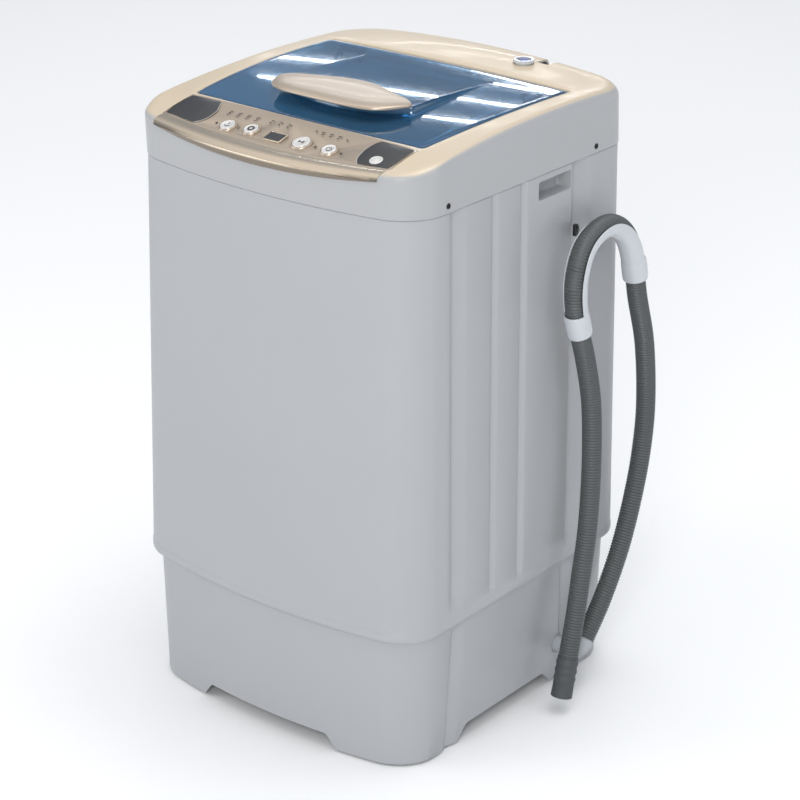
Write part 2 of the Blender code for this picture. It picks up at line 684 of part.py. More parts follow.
def make_control_panel(champagne, dark, trim, button_white, window):
    panel = piece("control_panel", panel_solid(0.0, 0.0, -PANEL_THICKNESS), champagne)
    combine(panel, "openings", panel_openings())
    piece("left_inlay", inlay(-1), dark)
    piece("right_inlay", inlay(1), dark)
    for name, x, y, radius in BUTTONS:
        surface = deck_height(x, y)
        profile = [(0.0030, BOARD_TOP + 0.0030), (0.0030, surface - 0.008), (radius - 0.001, surface - 0.008),
                   (radius, surface - 0.006), (radius, surface + 0.0010), (radius - 0.0012, surface + 0.0017)]
        piece(name, turned(profile, 16, (x, y, 0)), button_white, (x, y, 0))
    x, y = DISPLAY_CENTRE
    half_x, half_y = DISPLAY_HALF
    surface = deck_height(x, y)
    piece("display_window", box((x - half_x, y - half_y, surface - 0.0050), (x + half_x, y + half_y, surface + 0.0006)),
          window)
    section = []
    for i in range(9):
        x = mix(-0.161, 0.161, i / 8)
        y = -0.2160 + FRONT_BOW * (x / 0.2077) ** 2
        lower_x = x * 0.955
        lower_y = -0.2160 + FRONT_BOW * (lower_x / 0.2077) ** 2
        section.append([(x, y - 0.0004, 0.7122), (lower_x, lower_y - 0.0004, 0.7042),
                        (lower_x, lower_y - 0.0021, 0.7050), (x, y - 0.0026, 0.7112)])
    piece("front_trim", loft(section), trim)


def make_board(material):
    x_half, y0, y1 = 0.100, -0.197, -0.152
    board = piece("control_board", box((-x_half, y0, BOARD_TOP - 0.0016), (x_half, y1, BOARD_TOP)), material)
    parts = [box((-0.060, -0.190, 0.680), (-0.035, -0.165, BOARD_TOP - 0.001)),
             box((0.010, -0.192, 0.683), (0.050, -0.168, BOARD_TOP - 0.001)),
             turned([(0.006, 0.678), (0.006, BOARD_TOP - 0.001)], 12, (0.075, -0.172, 0))]
    for x, y in ((-0.093, -0.157), (0.093, -0.157)):
        parts.append(turned([(0.003, BOARD_TOP - 0.001), (0.003, deck_height(x, y) - 0.0034)], 8, (x, y, 0)))
    combine(board, "components", parts, "UNION")


def make_lid(material, grip_material):
    xs = [0.0, 0.030, 0.060, 0.0935, 0.0955, 0.120, 0.145]
    edge_points = lid_outline(0.0)
    fronts = sorted(((x, y) for x, y in edge_points if y < -0.1 and x >= 0))
    rears = sorted(((x, y) for x, y in edge_points if y > 0.1 and x >= 0))

    def edge_y(points, x):
        for (x0, y0), (x1, y1) in zip(points, points[1:]):
            if x0 <= x <= x1 and x1 > x0:
                return mix(y0, y1, (x - x0) / (x1 - x0))
        return points[-1][1]

    def width_at(y):
        share = y / LID_REAR
        return LID_HALF_WIDTH * (1 + 0.033 * share + 0.018 * (1 - share * share))

    half_columns = xs + [None, "edge"]
    columns = []
    for sign in (-1, 1):
        order = reversed(half_columns) if sign < 0 else half_columns[1:]
        columns += [(sign, key) for key in order]
    top = []
    bottom = []
    for sign, key in columns:
        top_column = []
        bottom_column = []
        for row in range(12):
            if isinstance(key, float):
                x = key
                wall = platform_front(x)
                front = edge_y(fronts, x)
                rear = edge_y(rears, x)
            else:
                wall = platform_front(PLATFORM_HALF_WIDTH)
                front = LID_FRONT + 0.0045
                rear = LID_REAR - 0.0015
            y = (front, front + 0.0035, mix(front, wall, 0.6), wall - 0.001, wall + 0.001, -0.020, 0.020,
                 0.055, PLATFORM_REAR, 0.108, rear - 0.003, rear)[row]
            if key is None:
                x = width_at(y) - 0.0075
            elif key == "edge":
                x = width_at(y) - {0: 0.0050, 1: 0.0010, 10: 0.0018, 11: 0.0055}.get(row, 0.0)
            inside = x < 0.0945 and wall < y < PLATFORM_REAR + 0.001
            z = platform_height(x, y) if inside else deck_height(x, y)
            z -= LID_REAR_FALL if row == 11 else 0.0
            rim = (row < 2 or not isinstance(key, float)) and y < 0.100
            top_column.append((sign * x, y, z))
            bottom_column.append((sign * x, y, z - (LID_RIM if rim else LID_THICKNESS)))
        top.append(top_column)
        bottom.append(bottom_column)
    hinge = (0, HINGE_Y, HINGE_Z)
    lid = piece("lid", slab(top, bottom), material, hinge)
    combine(lid, "knuckles", both_sides(turned([(KNUCKLE_RADIUS, KNUCKLE_X[0]), (KNUCKLE_RADIUS, KNUCKLE_X[1])], 12,
                                               hinge, "X")), "UNION")
    combine(lid, "pin_holes", both_sides(turned([(0.0024, KNUCKLE_X[0] - 0.002), (0.0024, KNUCKLE_X[1] + 0.002)], 8,
                                                hinge, "X")))
    piece("lid_handle", handle_shape(), grip_material, hinge)


def handle_shape():
    """A boat-shaped grip whose bottom follows the platform and whose front overhangs the platform's wall."""
    half = list(HANDLE_EDGE)
    stations = [(-x, f, r) for x, f, r in reversed(half[1:])] + half
    top = []
    bottom = []
    for x, front, rear in stations:
        top_column = []
        bottom_column = []
        for i in range(5):
            share = i / 4
            y = mix(front, rear, share)
            base = platform_height(x, y) + GAP
            swell = 1 - (2 * share - 1) ** 4
            length = 1 - (abs(x) / 0.098) ** 4
            bottom_column.append((x, y, base))
            top_column.append((x, y, base + 0.0016 + 0.0032 * swell * length))
        top.append(top_column)
        bottom.append(bottom_column)
    return slab(top, bottom)


def make_hinge_pins(material):
    x0 = KNUCKLE_X[0] - 0.0064
    x1 = KNUCKLE_X[1] + 0.0064
    for name, sign in (("hinge_pin_left", -1), ("hinge_pin_right", 1)):
        shape = turned([(PIN_RADIUS, sign * x0), (PIN_RADIUS, sign * x1)], 8, (0, HINGE_Y, HINGE_Z), "X")
        piece(name, shape, material)


def make_inlet(white, blue, grey):
    x, y = INLET_AT
    surface = deck_height(x, y)
    profile = [(0.0106, surface - 0.016), (0.0106, surface + 0.0012), (INLET_FLANGE, surface + 0.0012),
               (INLET_FLANGE, surface + 0.0050), (0.0085, surface + 0.0050), (0.0085, surface - 0.006),
               (0.0060, surface - 0.006), (0.0060, surface - 0.016)]
    piece("inlet_port", turned(profile, 16, (x, y, 0), hollow=True), white)
    filter_profile = [(0.0080, surface - 0.0057), (0.0080, surface - 0.0035), (0.0045, surface + 0.0035)]
    piece("inlet_filter", turned(filter_profile, 12, (x, y, 0)), blue)
    top = surface - 0.0163
    valve = piece("inlet_valve", box((x - 0.024, y - 0.018, top - 0.034), (x + 0.005, y + 0.018, top)), grey)
    spout = turned([(0.0065, 0.128), (0.0065, y - 0.010)], 12, (x - 0.010, 0, top - 0.022), "Y")
    coil = turned([(0.013, x - 0.050), (0.013, x - 0.020)], 16, (0, y, top - 0.017), "X")
    combine(valve, "spout", [spout], "UNION")
    combine(valve, "coil", [coil], "UNION")


def make_sensors(white, black):
    x, y = -0.100, 0.172
    roof = deck_height(x, y) - COVER_SKIN - 0.0010
    profile = [(0.004, roof - 0.040), (0.004, roof - 0.026), (0.024, roof - 0.026), (0.024, roof - 0.012),
               (0.010, roof - 0.010), (0.010, roof)]
    piece("water_level_sensor", turned(profile, 16, (x, y, 0)), white)
    roof = deck_height(0.188, 0.03) - COVER_SKIN - 0.0012
    piece("lid_switch", box((0.1825, 0.018, roof - 0.018), (0.1935, 0.042, roof)), black)
    piece("motor_capacitor", turned([(0.016, 0.180), (0.016, 0.252), (0.013, 0.255)], 16, (-0.170, 0.172, 0)), black)


# ---------------------------------------------------------------- tub, basket and drive

def make_tub(grey, ring_material):
    inside = TUB_RADIUS - TUB_WALL
    profile = [(0.016, TUB_BOTTOM), (0.150, TUB_BOTTOM), (TUB_RADIUS, TUB_BOTTOM + 0.018), (TUB_RADIUS, TUB_TOP),
               (inside, TUB_TOP), (inside, TUB_BOTTOM + 0.019), (0.149, TUB_BOTTOM + TUB_WALL),
               (0.016, TUB_BOTTOM + TUB_WALL)]
    tub = piece("outer_tub", turned(profile, 32, hollow=True), grey)
    lugs = []
    holes = []
    for sign_x in (1, -1):
        for sign_y in (1, -1):
            rod = Vector((sign_x * ROD_AT[0], sign_y * ROD_AT[1]))
            along = rod.normalized()
            across = Vector((-along.y, along.x)) * 0.013
            inner = along * 0.1672
            outer = along * (rod.length + 0.011)
            corners = [inner - across, outer - across, outer + across, inner + across]
            lugs.append(prism([tuple(c) for c in corners], *LUG_Z))
            holes.append(turned([(0.0045, LUG_Z[0] - 0.01), (0.0045, LUG_Z[1] + 0.01)], 8, (rod.x, rod.y, 0)))
    combine(tub, "lugs", lugs, "UNION")
    combine(tub, "lug_holes", holes)
    outer = TUB_RADIUS + 0.0035
    ring = [(outer, 0.616), (outer, 0.646), (0.137, 0.650), (0.137, 0.6475), (outer - 0.0045, 0.6437),
            (outer - 0.0045, 0.6284), (outer - 0.0030, 0.6284), (outer - 0.0030, 0.616)]
    piece("tub_ring", turned(ring, 32, hollow=True), ring_material)


def make_basket(steel, ring_material, plastic, screw_material):
    inside = BASKET_RADIUS - BASKET_WALL
    profile = [(0.020, BASKET_BOTTOM), (0.138, BASKET_BOTTOM), (BASKET_RADIUS, BASKET_BOTTOM + 0.012),
               (BASKET_RADIUS, BASKET_TOP - GAP), (inside, BASKET_TOP - GAP), (inside, BASKET_BOTTOM + 0.0125),
               (0.1375, BASKET_BOTTOM + BASKET_WALL), (0.020, BASKET_BOTTOM + BASKET_WALL)]
    piece("spin_basket", turned(profile, 32, hollow=True), steel)
    ring = [(0.1515, BASKET_TOP), (0.1515, RING_TOP - 0.003), (0.1480, RING_TOP), (0.1300, RING_TOP),
            (0.1265, RING_TOP - 0.004), (0.1420, BASKET_TOP)]
    piece("balance_ring", turned(ring, 32, hollow=True), ring_material)
    rings = []
    base = BASKET_BOTTOM + 0.004
    for radius, height, vane in ((0.118, 0.0, 0.0), (0.122, 0.004, 0.0), (0.112, 0.009, 0.0), (0.095, 0.010, 0.010),
                                 (0.060, 0.012, 0.016), (0.026, 0.018, 0.008), (0.014, 0.026, 0.0)):
        ring = []
        for i in range(24):
            angle = 2 * math.pi * i / 24
            lift = max(0.0, math.cos(4 * angle + 6 * (0.122 - radius))) ** 3
            ring.append((radius * math.cos(angle), radius * math.sin(angle), base + height + vane * lift))
        rings.append(ring)
    shaft_top = base + 0.018
    for radius, height in ((0.0035, 0.026), (0.0035, 0.0183), (SHAFT_RADIUS + GAP, 0.0183), (SHAFT_RADIUS + GAP, 0.0)):
        rings.append([(x, y, base + height) for x, y in circle(radius, 24)])
    piece("pulsator", loft(rings, closed_loop=True), plastic)
    screw = [(0.0028, shaft_top + 0.0030), (0.0028, base + 0.0263), (0.0080, base + 0.0263), (0.0065, base + 0.0300)]
    piece("pulsator_screw", turned(screw, 16), screw_material)


def make_drive(steel, iron, rubber, motor_material, valve_material):
    shaft_top = BASKET_BOTTOM + 0.004 + 0.018
    shaft = [(SHAFT_RADIUS, PULLEY_BOTTOM - 0.006), (SHAFT_RADIUS, shaft_top)]
    piece("drive_shaft", turned(shaft, 16), steel)
    housing = [(0.0070, 0.1720), (0.030, 0.1720), (0.045, 0.1800), (0.045, 0.2100), (0.060, 0.2140),
               (0.060, TUB_BOTTOM - GAP), (0.0155, TUB_BOTTOM - GAP), (0.0155, 0.2580), (0.0070, 0.2580)]
    piece("clutch_housing", turned(housing, 24, hollow=True), iron)
    rim = RIM_HEIGHT
    high = PULLEY_BOTTOM + PULLEY_HEIGHT
    outer = DRIVEN_GROOVE_RADIUS + rim
    driven = [(SHAFT_RADIUS + GAP, PULLEY_BOTTOM), (outer, PULLEY_BOTTOM), (outer, PULLEY_BOTTOM + 0.003),
              (DRIVEN_GROOVE_RADIUS, PULLEY_BOTTOM + 0.005), (DRIVEN_GROOVE_RADIUS, high - 0.005),
              (outer, high - 0.003), (outer, high), (SHAFT_RADIUS + GAP, high)]
    piece("driven_pulley", turned(driven, 24, hollow=True), iron)
    groove = MOTOR_GROOVE_RADIUS
    motor_pulley = [(groove + rim, PULLEY_BOTTOM), (groove + rim, PULLEY_BOTTOM + 0.003), (groove, PULLEY_BOTTOM + 0.005),
                    (groove, high - 0.005), (groove + rim, high - 0.003), (groove + rim, high), (0.005, high),
                    (0.005, high + 0.022)]
    piece("motor_pulley", turned(motor_pulley, 16, (*MOTOR_AT, 0)), steel, (*MOTOR_AT, 0))
    floor = high + 0.004
    motor = [(0.0056, floor), (MOTOR_RADIUS - 0.004, floor), (MOTOR_RADIUS, floor + 0.004),
             (MOTOR_RADIUS, TUB_BOTTOM - 0.006), (0.030, TUB_BOTTOM - 0.004), (0.030, TUB_BOTTOM - GAP),
             (0.004, TUB_BOTTOM - GAP), (0.004, high + 0.024), (0.0056, high + 0.024)]
    piece("motor", turned(motor, 24, (*MOTOR_AT, 0), hollow=True), motor_material)
    piece("drive_belt", belt_shape(), rubber)
    valve = piece("drain_valve", turned([(0.021, 0.1760), (0.021, 0.2080), (0.014, 0.2120), (0.014, TUB_BOTTOM - GAP)],
                                        16, (0.100, 0.070, 0)), valve_material)
    combine(valve, "spout", [turned([(0.010, 0.105), (0.010, 0.150)], 16, (0, 0.070, 0.190), "X")], "UNION")


def belt_shape():
    """A flat loop round both pulleys: two arcs and the straight runs between them."""
    motor = Vector(MOTOR_AT)
    distance = motor.length
    heading = math.atan2(motor.y, motor.x)
    lean = math.acos((DRIVEN_GROOVE_RADIUS - MOTOR_GROOVE_RADIUS) / distance)
    loops = []
    for extra in (0.0010, 0.0010 + BELT_THICKNESS):
        loop = []
        for i in range(17):
            angle = heading + lean + (2 * math.pi - 2 * lean) * i / 16
            radius = DRIVEN_GROOVE_RADIUS + extra
            loop.append((radius * math.cos(angle), radius * math.sin(angle)))
        for i in range(5):
            angle = heading - lean + 2 * lean * i / 4
            radius = MOTOR_GROOVE_RADIUS + extra
            loop.append((motor.x + radius * math.cos(angle), motor.y + radius * math.sin(angle)))
        loops.append(loop)
    low = PULLEY_BOTTOM + 0.0055
    high = PULLEY_BOTTOM + PULLEY_HEIGHT - 0.0055
    inner, outer = loops
    rings = [[(x, y, low) for x, y in outer], [(x, y, high) for x, y in outer],
             [(x, y, high) for x, y in inner], [(x, y, low) for x, y in inner]]
    return loft(rings, closed_loop=True)


def make_suspension(steel, spring_material):
    bracket = BRACKET_BASE + BRACKET_THICKNESS + GAP
    profile = [(0.011, 0.2220), (0.012, 0.2235), (0.012, 0.2262), (ROD_RADIUS, 0.2266), (ROD_RADIUS, bracket),
               (0.008, bracket), (0.008, bracket + 0.003), (0.004, bracket + 0.007)]
    number = 0
    for sign_x in (-1, 1):
        for sign_y in (-1, 1):
            number += 1
            x = sign_x * ROD_AT[0]
            y = sign_y * ROD_AT[1]
            piece(f"suspension_rod_{number}", turned(profile, 8, (x, y, 0)), steel)
            piece(f"suspension_spring_{number}", spring_shape(x, y), spring_material)


def spring_shape(x, y):
    """A helical wire between the rod's seat and the tub's lug."""
    low = SPRING_BASE + SPRING_WIRE
    high = LUG_Z[0] - GAP - SPRING_WIRE
    steps = SPRING_TURNS * 8
    rings = []
    for i in range(steps + 1):
        angle = 2 * math.pi * SPRING_TURNS * i / steps
        outward = Vector((math.cos(angle), math.sin(angle), 0))
        centre = Vector((x, y, mix(low, high, i / steps))) + outward * SPRING_RADIUS
        rings.append([tuple(centre + outward * a + Vector((0, 0, b))) for a, b in circle(SPRING_WIRE, 4)])
    return loft(rings)


# ---------------------------------------------------------------- drain hose

def smooth_route(points, spacing):
    """Read points at an even spacing from a smooth curve through the route's own points."""
    knots = [Vector(p) for p in points]
    knots = [2 * knots[0] - knots[1]] + knots + [2 * knots[-1] - knots[-2]]
    fine = []
    for a, b, c, d in zip(knots, knots[1:], knots[2:], knots[3:]):
        for i in range(16):
            t = i / 16
            fine.append(0.5 * (2 * b + (c - a) * t + (2 * a - 5 * b + 4 * c - d) * t * t
                               + (3 * b - a - 3 * c + d) * t * t * t))
    fine.append(knots[-2])
    total = sum((q - p).length for p, q in zip(fine, fine[1:]))
    count = round(total / spacing)
    result = [fine[0]]
    travelled = 0.0
    for p, q in zip(fine, fine[1:]):
        step = (q - p).length
        while len(result) < count and travelled + step >= total * len(result) / count:
            share = (total * len(result) / count - travelled) / step
            result.append(p + (q - p) * share)
        travelled += step
    result.append(fine[-1])
    return result


def trough_section(inner, outer, reach, count):
    """A C-shaped section that opens outward: (across, outward) points round part of a ring."""
    angles = [mix(-reach, reach, i / count) for i in range(count + 1)]
    section = [(outer * math.sin(a), -outer * math.cos(a)) for a in angles]
    section += [(inner * math.sin(a), -inner * math.cos(a)) for a in reversed(angles)]
    return section


def sleeve(path, inner, outer, sides):
    """A tube that follows a path."""
    half = [sweep(path, circle(radius, sides))[0] for radius in (outer, inner)]
    rings = []
    for points in half:
        levels = [points[i:i + sides] for i in range(0, len(points), sides)]
        rings += levels if not rings else reversed(levels)
    return loft(rings, closed_loop=True)


def make_hose(rubber, cuff_material, hook_material, outlet_material):
    line = smooth_route(HOSE_ROUTE, HOSE_SPACING)
    curve = bpy.data.curves.new("drain_hose", "CURVE")
    curve.dimensions = "3D"
    curve.bevel_depth = HOSE_RADIUS
    curve.bevel_resolution = 2
    curve.render_resolution_u = 0
    curve.use_fill_caps = True
    spline = curve.splines.new("POLY")
    spline.points.add(len(line) - 1)
    for place, point in zip(spline.points, line):
        place.co = (*point, 1.0)
    curve.materials.append(rubber)
    hose = bpy.data.objects.new("drain_hose", curve)
    bpy.context.collection.objects.link(hose)

    direction = (line[-1] - line[-2]).normalized()
    start = line[-1] + direction * GAP
    end = start + direction * CUFF_LENGTH
    piece("hose_cuff", sleeve((start, end), 0.0100, CUFF_RADIUS, 12), cuff_material)

    top = max(range(len(line)), key=lambda i: line[i].z)
    first = next(i for i in range(len(line)) if line[i].z > 0.497)
    last = max(i for i in range(top, len(line)) if line[i].z > 0.497)
    saddle = trough_section(0.0130, 0.0146, math.radians(100), 7)
    hook = piece("hose_hook", sweep(line[first:last + 1], saddle), hook_material)
    collars = []
    for low, high in ((first - 1, first), (last, last + 1)):
        collars.append(sleeve(line[low:high + 1], 0.0128, 0.0152, 12))
    combine(hook, "collars", collars, "UNION")

    y, z = OUTLET_AT
    elbow = Vector((HOSE_ROUTE[0][0], y, z))
    stub = turned([(OUTLET_RADIUS, 0.185), (OUTLET_RADIUS, elbow.x + 0.004)], 16, (0, y, z), "X")
    outlet = piece("drain_outlet", stub, outlet_material)
    climb = (line[1] - line[0]).normalized()
    tip = line[0] - climb * GAP
    foot = tip - climb * 0.022
    rings = []
    inward = climb.cross(Vector((1, 0, 0))).normalized()
    across = inward.cross(climb)
    for point in (foot, tip):
        rings.append([tuple(point + across * u + inward * v) for u, v in circle(0.0116, 16)])
    combine(outlet, "spigot", [loft(rings)], "UNION")


def main():
    clear_scene()
    white = paint("cabinet_white", (0.62, 0.63, 0.65), 0.35)
    cream = paint("deck_beige", (0.72, 0.60, 0.42), 0.3)
    champagne = paint("champagne", (0.45, 0.35, 0.26), 0.35, 0.3)
    trim = paint("trim_metal", (0.35, 0.30, 0.24), 0.25, 0.8)
    dark = paint("inlay_black", (0.03, 0.03, 0.03), 0.4)
    blue = paint("lid_blue", (0.04, 0.12, 0.26), 0.05, 0.0, 0.5)
    grip = paint("handle_champagne", (0.50, 0.38, 0.28), 0.3, 0.3)
    button_white = paint("button_white", (0.75, 0.74, 0.72), 0.3)
    black = paint("black_plastic", (0.02, 0.02, 0.02), 0.5)
    grey = paint("inner_grey", (0.45, 0.46, 0.48), 0.45)
    hose_grey = paint("hose_grey", (0.08, 0.09, 0.09), 0.6)
    hook_white = paint("hook_white", (0.60, 0.63, 0.66), 0.4)
    steel = paint("steel", (0.6, 0.6, 0.6), 0.3, 1.0)
    iron = paint("cast_iron", (0.15, 0.15, 0.16), 0.6, 0.8)
    rubber = paint("rubber", (0.02, 0.02, 0.02), 0.8)
    filter_blue = paint("filter_blue", (0.03, 0.08, 0.45), 0.4)
    board_green = paint("board_green", (0.02, 0.18, 0.07), 0.5)

    make_plinth(white)
    make_foot_pads(rubber)
    make_cabinet(white)
    make_casing_fittings(white, black)
    make_top_cover(cream)
    make_control_panel(champagne, dark, trim, button_white, black)
    make_board(board_green)
    make_lid(blue, grip)
    make_hinge_pins(steel)
    make_inlet(hook_white, filter_blue, grey)
    make_sensors(hook_white, black)
    make_tub(grey, hook_white)
    make_basket(steel, hook_white, hook_white, steel)
    make_drive(steel, iron, rubber, iron, grey)
    make_suspension(steel, steel)
    make_hose(hose_grey, hose_grey, hook_white, grey)


main()
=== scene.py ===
# %% [markdown]
# # A compact top load washing machine
# The machine is built piece by piece around its engineering model. Every length is in metres, +Z points up,
# the control panel faces -Y and the drain hose hangs on the +X side. The engineering model is loaded first and
# is never moved: each new piece takes its place from it and rides on one of its bodies.

# %% Load the fixed frame
import math

import bmesh
import bpy
from mathutils import Matrix, Vector


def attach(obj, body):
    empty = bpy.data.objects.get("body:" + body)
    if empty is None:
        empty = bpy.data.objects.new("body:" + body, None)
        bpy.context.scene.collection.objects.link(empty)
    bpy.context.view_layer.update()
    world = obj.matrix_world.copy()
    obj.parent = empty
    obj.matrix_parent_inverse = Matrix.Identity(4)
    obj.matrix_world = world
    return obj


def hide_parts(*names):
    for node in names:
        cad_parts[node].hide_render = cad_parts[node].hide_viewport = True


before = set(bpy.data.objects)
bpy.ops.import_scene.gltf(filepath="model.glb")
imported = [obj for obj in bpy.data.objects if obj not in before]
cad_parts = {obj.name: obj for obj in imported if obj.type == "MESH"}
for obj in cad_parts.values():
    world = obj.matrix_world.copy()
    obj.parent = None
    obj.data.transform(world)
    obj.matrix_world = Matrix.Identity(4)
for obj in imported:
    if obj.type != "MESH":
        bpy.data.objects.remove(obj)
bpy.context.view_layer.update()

bpy.ops.object.select_all(action="DESELECT")

# %% [markdown]
# ## Camera
# The view comes from the front right corner, a little above the lid. A long lens keeps the upright edges almost
# parallel, so the camera stands about three metres away. Its turn is built from three axes, because that says
# plainly which way is right, which is up and which is back.

# %% Camera
AZIMUTH, ELEVATION, ROLL = (math.radians(v) for v in (38.756, 23.325, 0.31))
DISTANCE = 2.987
TARGET = Vector((0.0203, 0.0163, 0.3520))
back = Vector((math.sin(AZIMUTH) * math.cos(ELEVATION), -math.cos(AZIMUTH) * math.cos(ELEVATION),
               math.sin(ELEVATION)))
right = Vector((math.cos(AZIMUTH), math.sin(AZIMUTH), 0.0))
up = back.cross(right)
level_right = right * math.cos(ROLL) + up * math.sin(ROLL)
level_up = up * math.cos(ROLL) - right * math.sin(ROLL)
bpy.ops.object.camera_add(location=TARGET + back * DISTANCE)
camera = bpy.context.object
camera.name = "studio_camera"
camera.rotation_mode = "QUATERNION"
camera.rotation_quaternion = Matrix((level_right, level_up, back)).transposed().to_quaternion()
camera.data.sensor_width, camera.data.lens = 36.0, 112.15
bpy.context.scene.camera = camera
print("camera at", [round(v, 3) for v in camera.location])

# %% [markdown]
# ## Floor and light
# A pale paper floor, a key light near the camera, softer ones at the left, the right and above, and three long
# tubes behind. The key near the camera makes the grooves' slopes stand out, and the tubes draw the white lines on
# the clear lid. The sky is bright at the horizon and overhead and dark between, so that the lid stays blue.

# %% Floor and lights
def fresh():
    """Leave nothing selected, so that no operator acts on an earlier piece."""
    bpy.ops.object.select_all(action="DESELECT")


def take(piece):
    """Select one piece alone and make it the active one."""
    fresh()
    piece.select_set(True)
    bpy.context.view_layer.objects.active = piece


def put(node, values):
    """Set a shader node's inputs by their names."""
    for key, value in values.items():
        node.inputs[key].default_value = value
    return node


def lamp(name, place, aim, size, power, colour=(1.0, 1.0, 1.0)):
    """Add a rectangular studio light that faces a point."""
    fresh()
    bpy.ops.object.light_add(type="AREA", location=place)
    light = bpy.context.object
    light.name = name
    light.rotation_euler = (Vector(aim) - Vector(place)).to_track_quat("-Z", "Y").to_euler()
    light.data.shape = "RECTANGLE"
    light.data.size, light.data.size_y = size
    light.data.energy = power
    light.data.color = colour
    return light


fresh()
bpy.ops.mesh.primitive_plane_add(size=16.0, location=(0.0, 0.0, -0.0004))
floor = bpy.context.object
floor.name = "floor"
paper = bpy.data.materials.new("paper_floor")
paper.use_nodes = True
put(paper.node_tree.nodes["Principled BSDF"], {"Base Color": (0.90, 0.90, 0.90, 1.0), "Roughness": 0.9})
floor.data.materials.append(paper)
sky = bpy.data.worlds.new("pale_room")
sky.use_nodes = True
tree = sky.node_tree
background = tree.nodes["Background"]
around = tree.nodes.new("ShaderNodeTexCoord")
split = tree.nodes.new("ShaderNodeSeparateXYZ")
height = tree.nodes.new("ShaderNodeValToRGB")
tree.links.new(around.outputs["Generated"], split.inputs["Vector"])
tree.links.new(split.outputs["Z"], height.inputs["Fac"])
tree.links.new(height.outputs["Color"], background.inputs["Color"])
ramp = height.color_ramp
ramp.elements[0].position, ramp.elements[0].color = 0.02, (0.97, 0.98, 1.0, 1.0)
ramp.elements[1].position, ramp.elements[1].color = 0.12, (0.16, 0.19, 0.24, 1.0)
for place, colour in ((0.55, (0.26, 0.29, 0.34, 1.0)), (0.78, (1.0, 1.0, 1.0, 1.0))):
    ramp.elements.new(place).color = colour
background.inputs["Strength"].default_value = 1.15
bpy.context.scene.world = sky
bpy.context.scene.view_settings.view_transform = "Standard"
lamp("left_softbox", (-2.2, -2.4, 1.7), (0.0, 0.0, 0.40), (1.4, 1.6), 20.0)
lamp("key_softbox", (2.0, -3.0, 1.9), (0.0, 0.0, 0.40), (1.0, 1.4), 66.0)
lamp("right_softbox", (3.0, 0.6, 1.2), (0.0, 0.0, 0.40), (0.9, 1.6), 5.0, (0.93, 0.97, 1.0))
lamp("top_softbox", (0.4, 0.6, 3.6), (0.0, 0.0, 0.40), (1.4, 1.0), 24.0, (0.96, 0.98, 1.0))
for k, (z, width) in enumerate(((1.80, 0.022), (2.12, 0.028), (2.45, 0.022)), 1):
    lamp(f"overhead_tube_{k}", (-2.3, 3.1, z), (0.0, 0.0, 0.72), (1.3, width), 2.6)

# %% [markdown]
# ## Finishes
# Moulded plastic and painted steel are never one flat colour. A broad, weak noise tints the colour and the
# gloss a little, as moulding and handling do, and a very fine noise roughens the surface through a bump.
# Patterns read the object's own coordinates, in metres, so that a grain of a tenth of a millimetre stays so.


def finish(name, colour, roughness, grain=1200.0, depth=0.00002, tint=0.05, metallic=0.0, coat=0.0,
           second=None, second_scale=6.0, smears=0.06, transmission=0.0):
    """Make one material: a tinted colour, uneven gloss and a fine bumped grain."""
    material = bpy.data.materials.new(name)
    material.use_nodes = True
    tree = material.node_tree
    shader = put(tree.nodes["Principled BSDF"], {"Metallic": metallic, "Coat Weight": coat, "Coat Roughness": 0.08,
                                                 "Transmission Weight": transmission})
    place = tree.nodes.new("ShaderNodeTexCoord")
    broad = put(tree.nodes.new("ShaderNodeTexNoise"), {"Scale": second_scale, "Detail": 5.0})
    fine = put(tree.nodes.new("ShaderNodeTexNoise"), {"Scale": grain, "Detail": 3.0})
    blend = tree.nodes.new("ShaderNodeMix")
    blend.data_type = "RGBA"
    other = second or tuple(c * (1.0 - 2.0 * tint) for c in colour)
    put(blend, {"A": (*colour, 1.0), "B": (*other, 1.0)})
    gloss = put(tree.nodes.new("ShaderNodeMapRange"), {"To Min": max(0.0, roughness - 2 * smears),
                                                       "To Max": min(1.0, roughness + 2 * smears)})
    bump = put(tree.nodes.new("ShaderNodeBump"), {"Distance": depth, "Strength": 0.8})
    for start, out, end, into in ((place, "Object", broad, "Vector"), (place, "Object", fine, "Vector"),
                                  (broad, "Fac", blend, "Factor"), (blend, "Result", shader, "Base Color"),
                                  (broad, "Fac", gloss, "Value"), (gloss, "Result", shader, "Roughness"),
                                  (fine, "Fac", bump, "Height"), (bump, "Normal", shader, "Normal")):
        tree.links.new(start.outputs[out], end.inputs[into])
    return material


CASING = finish("casing_paint", (0.375, 0.379, 0.385), 0.36, grain=2200.0, depth=0.000022, tint=0.02,
                coat=0.12)
SIDE = finish("side_plastic", (0.375, 0.382, 0.394), 0.40, grain=1500.0, depth=0.00003, tint=0.02)
HOSE = finish("hose_rubber", (0.090, 0.097, 0.098), 0.46, grain=1500.0, depth=0.00005, tint=0.12)
CUFF = finish("cuff_rubber", (0.072, 0.077, 0.080), 0.55, grain=1200.0, depth=0.00006, tint=0.12)
HOOK = finish("hook_plastic", (0.52, 0.545, 0.57), 0.22, grain=900.0, depth=0.00001, tint=0.03,
              coat=0.3)
WHITE = finish("moulded_white", (0.62, 0.65, 0.68), 0.35, grain=1100.0, depth=0.00002, tint=0.04)
GREY = finish("moulded_grey", (0.40, 0.42, 0.44), 0.45, grain=1100.0, depth=0.00003, tint=0.06)
BLACK = finish("moulded_black", (0.016, 0.016, 0.018), 0.42, grain=1300.0, depth=0.00003, tint=0.2)
RUBBER = finish("foot_rubber", (0.018, 0.018, 0.018), 0.8, grain=900.0, depth=0.00008, tint=0.2)
STEEL = finish("bright_steel", (0.60, 0.60, 0.61), 0.28, grain=1600.0, depth=0.00001, metallic=1.0)
